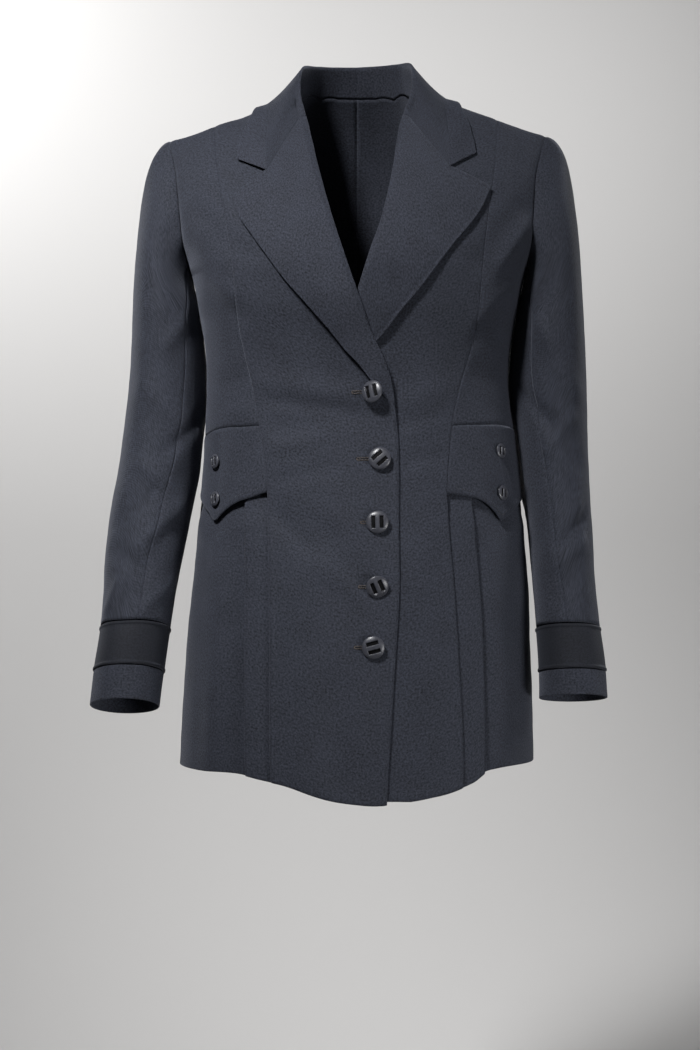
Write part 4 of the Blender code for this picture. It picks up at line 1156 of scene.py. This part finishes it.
HEAD_SHARES = np.concatenate([np.linspace(0, 0.1, 8)[:-1], np.linspace(0.1, 1, 34)[:-1]])
ARM_ROWS = np.linspace(HEAD_END, CUFF_BAND[0] + 0.8, 84)


def sleeve_piece(name, side, from_index, to_index, count):
    """The sleeve's cloth from one of its seams to the other."""
    total = len(HEAD_SHARES) + len(ARM_ROWS)
    grids = []
    for shift in (0, -1, 1):
        rows = []
        for number in range(total):
            # The seams' places are the solids' own, by the share of the solids' rows.
            place = np.interp(number, (0, len(HEAD_SHARES), total - 1), (0, 0.4, 1))
            start = float(column(SLEEVE_SEAMS, place, from_index)) + 0.05
            end = float(column(SLEEVE_SEAMS, place, to_index)) - 0.05
            end += 360 * (end < start)
            angles = start + (end - start) * shares(count, 0.5) + shift
            if number < len(HEAD_SHARES):
                rows.append(head(side, HEAD_SHARES[number], angles))
            else:
                rows.append(ring(side, ARM_ROWS[number - len(HEAD_SHARES)], angles))
        grids.append(np.array(rows))
    outer, before, after = grids
    out = unit(np.cross(after - before, np.gradient(outer, axis=0)) * side)
    relief = seam_dip(from_edge(outer, "start")) + seam_dip(from_edge(outer, "end")) + 0.6 * handled(outer)
    head_run = from_edge(outer, "bottom")
    relief += -0.5 * np.exp(-((head_run / 1.6) ** 2)) + 0.4 * np.exp(-(((head_run - 8) / 6) ** 2))
    return sew(name, outer + out * relief[..., None], outer - out * CLOTH, WOOL_CLOTH)


def top_sleeve(side, name):
    return sleeve_piece(name, side, 2, 1, 62)


def under_sleeve(side, name):
    return sleeve_piece(name, side, 1, 2, 34)


def tube(name, side, stations, material, free=()):
    """A closed ring of cloth round the wrist, from its stations of height and growth."""
    angles = np.arange(0, 360, 3.0)
    heights = [row[0] for row in stations]
    dense = np.unique(np.concatenate([np.linspace(heights[0], heights[-1], 34), heights]))[::-1]
    grow = np.interp(-dense, [-h for h in heights], [row[1] for row in stations])
    outer = ring(side, dense[:, None], angles[None, :], grow[:, None])
    inner = ring(side, dense[:, None], angles[None, :], np.minimum(grow, 0.6)[:, None] - CLOTH)
    return sew(name, outer, inner, material, free, around=True)


PIPING_BASE, PIPING_SIZE = 0.5, 0.75  # how far the band and then its piping stand out there


def piping(height):
    """Stations of a rounded raised line, its middle at this height."""
    across = (1, 0.8, 0.5, 0.2, -0.2, -0.5, -0.8, -1)
    return [(height + 1.5 * c, PIPING_BASE + PIPING_SIZE * math.sqrt(max(0.0, 1 - c * c))) for c in across]


def cuff_band(side, name):
    top, low = CUFF_BAND
    flat = [(top - 6, 0.3), (low + 6, 0.3)]
    return tube(name, side, piping(top - 2.3) + flat + piping(low + 2.3), BAND_CLOTH)


def cuff(side, name):
    stations = [(CUFF_BAND[1] - 0.6, 0.0), (-609, 0.0), (CUFF_HEM[side], 0.2)]
    return tube(name, side, stations, WOOL_CLOTH, ("top",))


# Buttons

# name, X, Z, radius, turn of the slots, how far it leans toward -X and upward (degrees), its back's height
BUTTONS = (
    ("front_button_1", 14.1, -309.8, 11.25, 14, 34, -6, 4.8),
    ("front_button_2", 22.1, -376.3, 11.25, -50, 10, 0, 2.6),
    ("front_button_3", 19.8, -439.5, 11.25, 0, 6, 4, 2.2),
    ("front_button_4", 19.6, -503.3, 11.25, 24, -6, 22, 4.6),
    ("front_button_5", 15.6, -562.8, 11.25, -75, 6, 6, 2.2),
    ("side_button_right_upper", -142.6, -377.4, 7.5, 10, 0, 0, 1.2),
    ("side_button_right_lower", -142.3, -415.6, 7.5, 10, 0, 0, 1.2),
    ("side_button_left_upper", 144.0, -366.9, 7.5, -10, 0, 0, 1.2),
    ("side_button_left_lower", 145.7, -409.6, 7.5, -10, 0, 0, 1.2),
)
# in radii: the slots, the dome's height and the rim's height above the button's back
SLOT_HALF_LENGTH, SLOT_HALF_WIDTH, SLOT_AWAY, SLOT_DEPTH = 0.55, 0.18, 0.36, 0.15
DOME_HEIGHT, RIM_HEIGHT = 0.34, 0.09


def button_frame(x, z):
    """Where a button stands: its foot on the cloth, the ways across and up it, and its axis."""
    lift = 0.9 + float(front_rise(x, z)) if abs(x) < 60 else 1.2
    base = on_front(x, z, lift)
    out = on_front(x, z, lift + 1.0) - base
    across = unit(-np.cross([0, 0, 1.0], out))
    up = np.cross(out, across)
    return base, across, up if up[2] > 0 else -up, out


def button_rings(low):
    """Rings of a button as radius and height: shank, back, rim and dome. The number is the dome's first ring."""
    rings = [(0.0, 0.0), (0.25, 0.0), (0.27, 0.01), (0.27, low - 0.01), (0.30, low), (0.80, low), (0.93, low + 0.02)]
    for lean in np.radians(np.linspace(0, 90, 10)):
        rings.append((0.93 + 0.07 * math.sin(lean), low + RIM_HEIGHT - 0.07 * math.cos(lean)))
    dome = len(rings)
    for share in np.linspace(1, 0, 46)[1:]:
        rings.append((share, low + RIM_HEIGHT + (DOME_HEIGHT - RIM_HEIGHT) * (1 - share**2.3) ** 0.62))
    return np.array(rings), dome


def button(name, x, z, radius, slot_turn, aside, upward, gap):
    """A domed button with two slots, leaning on its shank."""
    base, across, up, out = button_frame(x, z)
    rings, dome = button_rings(gap / radius)
    angles = np.linspace(0, math.tau, 97)[:-1]
    wide, high = rings[:, :1], rings[:, 1:] * np.ones(len(angles))
    flat_x, flat_y = wide * np.cos(angles), wide * np.sin(angles)
    spin = math.radians(slot_turn)
    u = flat_x * math.cos(spin) - flat_y * math.sin(spin)
    v = flat_x * math.sin(spin) + flat_y * math.cos(spin)
    on_dome = (np.arange(len(rings)) > dome)[:, None]
    hollow = np.zeros(high.shape)
    for away in (-SLOT_AWAY, SLOT_AWAY):
        past = np.maximum(np.abs(u - away) - SLOT_HALF_WIDTH, np.abs(v) - SLOT_HALF_LENGTH)
        hollow = np.maximum(hollow, on_dome * ease(0.5 - past / 0.05))
    points = np.stack([flat_x, flat_y, high - SLOT_DEPTH * hollow], -1).reshape(-1, 3) * radius
    index = np.arange(high.size).reshape(high.shape)
    after = np.roll(index, -1, 1)
    faces = np.stack([index[:-1], after[:-1], after[1:], index[1:]], -1).reshape(-1, 4)
    leans = np.array(
        Matrix.Rotation(math.radians(-aside), 3, Vector(up)) @ Matrix.Rotation(math.radians(-upward), 3, Vector(across))
    )
    facing = np.array([leans @ across, leans @ up, leans @ out])
    world = ((points - [0, 0, gap]) @ facing + base + out * gap) * METRE
    mesh = bpy.data.meshes.new(name + "_domed")
    mesh.from_pydata(world.tolist(), [], faces.tolist())
    mesh.attributes.new("hollow", "FLOAT", "POINT").data.foreach_set("value", hollow.reshape(-1))
    whole = bmesh.new()
    whole.from_mesh(mesh)
    bmesh.ops.remove_doubles(whole, verts=whole.verts, dist=1e-7)
    bmesh.ops.recalc_face_normals(whole, faces=whole.faces)
    whole.to_mesh(mesh)
    whole.free()
    mesh.materials.append(BUTTON_FACE_PAINTED_REFLECTION)
    mesh.materials.append(BUTTON_SLOT_PAINTED_SHADE)
    deep = np.zeros(len(mesh.vertices))
    mesh.attributes["hollow"].data.foreach_get("value", deep)
    # Faces deep in the slots take the second material: painted shade in the slots.
    for face in mesh.polygons:
        face.material_index = int(min(deep[list(face.vertices)]) > 0.6)
    mesh.shade_smooth()
    made = put(name + "_domed", mesh)
    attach(made, "root")
    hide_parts(name)


# Stitches


def stitch_tree():
    """Stitches along a line: each a small rounded thread, laid along it or turned across it."""
    tree = bpy.data.node_groups.new("thread_stitches", "GeometryNodeTree")
    sockets = {}
    for label, kind, value in (
        ("Line", "NodeSocketGeometry", None),
        ("Spacing", "NodeSocketFloat", 0.003),
        ("Stitch Length", "NodeSocketFloat", 0.002),
        ("Thread Width", "NodeSocketFloat", 0.0004),
        ("Turn", "NodeSocketFloat", 0.0),
        ("Thread", "NodeSocketMaterial", None),
    ):
        socket = tree.interface.new_socket(label, in_out="INPUT", socket_type=kind)
        if value is not None:
            socket.default_value = value
        sockets[label] = socket.identifier
    tree.interface.new_socket("Stitches", in_out="OUTPUT", socket_type="NodeSocketGeometry")
    given, result = add(tree, "NodeGroupInput").outputs, add(tree, "NodeGroupOutput").inputs
    to_curve = add(tree, "GeometryNodeMeshToCurve")
    even = add(tree, "GeometryNodeResampleCurve", mode="LENGTH")
    spots = add(tree, "GeometryNodeCurveToPoints", mode="EVALUATED")
    out = add(tree, "GeometryNodeInputNamedAttribute", {"Name": "out"}, data_type="FLOAT_VECTOR")
    stand = add(tree, "FunctionNodeAlignRotationToVector", axis="Z")
    face_on = add(tree, "FunctionNodeAlignRotationToVector", axis="X", pivot_axis="Z")
    spin = add(tree, "FunctionNodeAxisAngleToRotation")
    turned = add(tree, "FunctionNodeRotateRotation", rotation_space="LOCAL")
    bead = add(tree, "GeometryNodeMeshUVSphere", {"Segments": 8, "Rings": 5, "Radius": 0.5})
    size = add(tree, "ShaderNodeCombineXYZ")
    placed = add(tree, "GeometryNodeInstanceOnPoints")
    real = add(tree, "GeometryNodeRealizeInstances")
    dyed = add(tree, "GeometryNodeSetMaterial")
    join(
        tree,
        (given["Line"], to_curve.inputs[0]),
        (to_curve.outputs[0], even.inputs["Curve"]),
        (given["Spacing"], even.inputs["Length"]),
        (even.outputs[0], spots.inputs["Curve"]),
        (out.outputs["Attribute"], stand.inputs["Vector"]),
        (stand.outputs[0], face_on.inputs["Rotation"]),
        (spots.outputs["Tangent"], face_on.inputs["Vector"]),
        (given["Turn"], spin.inputs["Angle"]),
        (face_on.outputs[0], turned.inputs["Rotation"]),
        (spin.outputs[0], turned.inputs["Rotate By"]),
        (given["Stitch Length"], size.inputs["X"]),
        (given["Thread Width"], size.inputs["Y"]),
        (given["Thread Width"], size.inputs["Z"]),
        (spots.outputs["Points"], placed.inputs["Points"]),
        (bead.outputs["Mesh"], placed.inputs["Instance"]),
        (turned.outputs[0], placed.inputs["Rotation"]),
        (size.outputs[0], placed.inputs["Scale"]),
        (placed.outputs[0], real.inputs[0]),
        (real.outputs[0], dyed.inputs["Geometry"]),
        (given["Thread"], dyed.inputs["Material"]),
        (dyed.outputs[0], result[0]),
    )
    return tree, sockets


STITCH_TREE, STITCH_SOCKETS = stitch_tree()


def stitches(name, runs, spacing, length, width, turn, thread):
    """One mesh of stitches along several lines, each given as points and their outward ways."""
    points, outs, edges = [], [], []
    for spots, ways in runs:
        first = len(points)
        points += (np.asarray(spots) * METRE).tolist()
        outs += np.asarray(ways).tolist()
        edges += [(first + i, first + i + 1) for i in range(len(spots) - 1)]
    mesh = bpy.data.meshes.new(name + "_line")
    mesh.from_pydata(points, edges, [])
    mesh.attributes.new("out", "FLOAT_VECTOR", "POINT").data.foreach_set("vector", np.array(outs).reshape(-1))
    line = put(name + "_line", mesh)
    maker = line.modifiers.new("stitches", "NODES")
    maker.node_group = STITCH_TREE
    for label, value in (
        ("Spacing", spacing), ("Stitch Length", length), ("Thread Width", width), ("Turn", turn), ("Thread", thread),
    ):
        maker[STITCH_SOCKETS[label]] = value
    bpy.context.view_layer.update()
    seen = line.evaluated_get(bpy.context.evaluated_depsgraph_get())
    result = bpy.data.meshes.new_from_object(seen)
    result.name = name
    result.shade_smooth()
    made = put(name, result)
    bpy.data.objects.remove(line)
    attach(made, "root")


def on_cloth(x, z, lift):
    """Points on the front's outer face and its outward ways."""
    x, z = np.broadcast_arrays(np.asarray(x, float), np.asarray(z, float))
    at = on_front(x, z, lift)
    return at, on_front(x, z, lift + 1.0) - at


HOLE_ENDS = (8.5, 11.5, 5.5, 7.5, 7.5)  # how far each buttonhole shows beside its button
HOLE_HALF = 1.1  # half width of its loop


def buttonholes():
    """Worked buttonholes: close stitches across a long loop whose end shows beside each button."""
    runs = []
    around = np.radians(np.linspace(90, 270, 9))
    for (_, x, z, radius, *_), long_by in zip(BUTTONS, HOLE_ENDS):
        end = x - radius - long_by + HOLE_HALF
        path_x = [np.linspace(x, end, 12), end + HOLE_HALF * np.cos(around), np.linspace(end, x, 12)]
        path_z = [np.full(12, z + HOLE_HALF), z + HOLE_HALF * np.sin(around), np.full(12, z - HOLE_HALF)]
        lift = float(front_rise(x - 20, z)) + 0.7
        runs.append(on_cloth(np.concatenate(path_x), np.concatenate(path_z), lift))
    stitches("buttonhole_stitches", runs, 0.00062, 0.0016, 0.00050, math.pi / 2, HOLE_THREAD)


def edge_stitches():
    """Fine machine stitches: above the bands' lower edge, beside the right pleat's fold, and its tack."""
    runs = []
    for side in (-1, 1):
        turns = side * np.linspace(34, 84, 60)
        levels = band_level(side, turns, 1) + 5.5 / LEVEL
        runs.append((raised(turns, levels, np.full(turns.shape, 0.62)), normal(turns, levels)))
    down = np.linspace(0, 2, 20)
    fold_x = np.interp(down, range(3), (-112.6, -112.4, -112.8))
    fold_z = np.interp(down, range(3), (-424.0, -450.0, -483.0))
    runs.append(on_cloth(fold_x, fold_z, -0.25))
    runs.append(on_cloth(np.linspace(-117.5, -104.5, 12), -484.0, -0.15))
    stitches("edge_stitches", runs, 0.0026, 0.0020, 0.00042, 0.0, SEAM_THREAD)


# Dressing the solids

# what makes the piece, its name, what it rests on, how it is held, then the width, length and area
# of its flat cut in metres, the right one and the left one
PIECES = (
    (front, "front", ("side_front", "back"), "hung", (0.145, 0.790, 0.0925), (0.130, 0.785, 0.0815)),
    (side_front, "side_front", ("front", "back"), "hung", (0.125, 0.360, 0.0295), (0.130, 0.365, 0.0300)),
    (waist_band, "waist_band", ("side_front", "pleated_skirt"), "laid", (0.155, 0.095, 0.0103), (0.165, 0.100, 0.0116)),
    (pleated_skirt, "pleated_skirt", ("waist_band", "front"), "folded", (0.225, 0.305, 0.0585), (0.210, 0.310, 0.0560)),
    (back, "back", ("side_front",), "hung", (0.255, 0.740, 0.1530), (0.255, 0.740, 0.1555)),
    (lapel, "lapel", ("front",), "folded", (0.135, 0.345, 0.0190), (0.140, 0.265, 0.0180)),
    (top_sleeve, "top_sleeve", ("side_front", "back"), "hung", (0.280, 0.525, 0.0800), (0.290, 0.525, 0.0790)),
    (under_sleeve, "under_sleeve", ("top_sleeve",), "hung", (0.140, 0.430, 0.0475), (0.130, 0.430, 0.0455)),
    (cuff_band, "cuff_band", ("top_sleeve",), "laid", (0.265, 0.048, 0.0122), (0.257, 0.048, 0.0118)),
    (cuff, "cuff", ("cuff_band",), "hung", (0.258, 0.036, 0.0090), (0.252, 0.028, 0.0068)),
)


def wear(piece, node):
    """The piece takes the place of its solid."""
    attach(piece, "root")
    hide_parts(node)


def dress():
    for side, suffix in ((-1, "_right"), (1, "_left")):
        for make, part, rests_on, held, right_cut, left_cut in PIECES:
            piece = make(side, part + suffix + "_cloth")
            wear(piece, part + suffix)
    wear(collar("collar_cloth"), "collar")


dress()
for row in BUTTONS:
    button(*row)
buttonholes()
edge_stitches()


# Studio

FLOOR_HEIGHT = -1.36
FLOOR_FRONT, WALL_DISTANCE, WALL_HEIGHT = -3.2, 1.8, 4.2
BEND = 0.9  # radius of the curve between the floor and the wall
HALF_WIDTH = 4.5
CAMERA_X, CAMERA_HEIGHT, CAMERA_DISTANCE = -0.0073, -0.442, 2.6
PAPER = (0.62, 0.612, 0.605, 1)
IMAGE_WIDTH = 0.728  # metres of the jacket's plane across the picture
SENSOR_WIDTH = 36
# light, its place, what it looks at, its side, power and spread in degrees
LIGHTS = (
    ("key_softbox", (-0.95, -1.68, 1.45), (-0.19, 0, -0.28), 0.38, 4.35, 36),
    ("fill_softbox", (1.8, -1.6, -1.1), (0.16, 0, -0.76), 0.9, 3.9, 52),
    ("wall_wash", (-1.0, 0.9, 0.8), (-0.8, 1.8, 0.25), 0.4, 10, 130),
    ("wide_wall_wash", (0.7, 0.4, 0.45), (-0.1, 1.8, 0.1), 0.5, 7, 110),
    ("left_back_softbox", (-1.5, 1.5, 0.4), (0, 0.1, -0.35), 0.7, 3, 90),
    ("right_back_softbox", (1.5, 1.5, 0.4), (0, 0.1, -0.35), 0.7, 3, 90),
)


def backdrop():
    """A pale floor that curves up into a wall."""
    turn = WALL_DISTANCE - BEND
    profile = [(FLOOR_FRONT, 0.0), (turn, 0.0)]
    for angle in np.radians(np.linspace(6, 90, 15)):
        profile.append((turn + BEND * math.sin(angle), BEND - BEND * math.cos(angle)))
    profile.append((WALL_DISTANCE, WALL_HEIGHT))
    points = [(x, y, z + FLOOR_HEIGHT) for y, z in profile for x in (-HALF_WIDTH, HALF_WIDTH)]
    faces = [(2 * i, 2 * i + 1, 2 * i + 3, 2 * i + 2) for i in range(len(profile) - 1)]
    mesh = bpy.data.meshes.new("studio_backdrop")
    mesh.from_pydata(points, [], faces)
    mesh.shade_smooth()
    paper, tree, shader = new_material("backdrop_paper", {"Base Color": PAPER, "Roughness": 0.9})
    # Seen from behind, the paper is clear, so that the jacket's back can be looked at.
    clear = add(tree, "ShaderNodeBsdfTransparent")
    facing = add(tree, "ShaderNodeNewGeometry")
    either = add(tree, "ShaderNodeMixShader")
    join(
        tree,
        (facing.outputs["Backfacing"], either.inputs[0]),
        (shader.outputs["BSDF"], either.inputs[1]),
        (clear.outputs["BSDF"], either.inputs[2]),
        (either.outputs["Shader"], tree.nodes["Material Output"].inputs["Surface"]),
    )
    mesh.materials.append(paper)
    put("studio_backdrop", mesh)


def softbox(name, place, target, size, power, spread):
    light = bpy.data.lights.new(name, "AREA")
    light.size = size
    light.energy = power
    light.spread = math.radians(spread)
    made = put(name, light)
    made.location = place
    made.rotation_euler = (Vector(target) - Vector(place)).to_track_quat("-Z", "Y").to_euler()


def studio():
    backdrop()
    world = bpy.data.worlds.new("studio_air")
    world.use_nodes = True
    air = world.node_tree.nodes["Background"].inputs
    air["Color"].default_value = (0.93, 0.95, 1.0, 1)
    air["Strength"].default_value = 0.05
    bpy.context.scene.world = world
    bpy.context.scene.view_settings.view_transform = "Standard"
    for row in LIGHTS:
        softbox(*row)
    camera = bpy.data.cameras.new("photo_camera")
    camera.sensor_fit = "HORIZONTAL"
    camera.sensor_width = SENSOR_WIDTH
    camera.lens = SENSOR_WIDTH * CAMERA_DISTANCE / IMAGE_WIDTH
    made = put("photo_camera", camera)
    made.location = (CAMERA_X, -CAMERA_DISTANCE, CAMERA_HEIGHT)
    made.rotation_euler = (math.radians(90), 0, 0)
    bpy.context.scene.camera = made


studio()
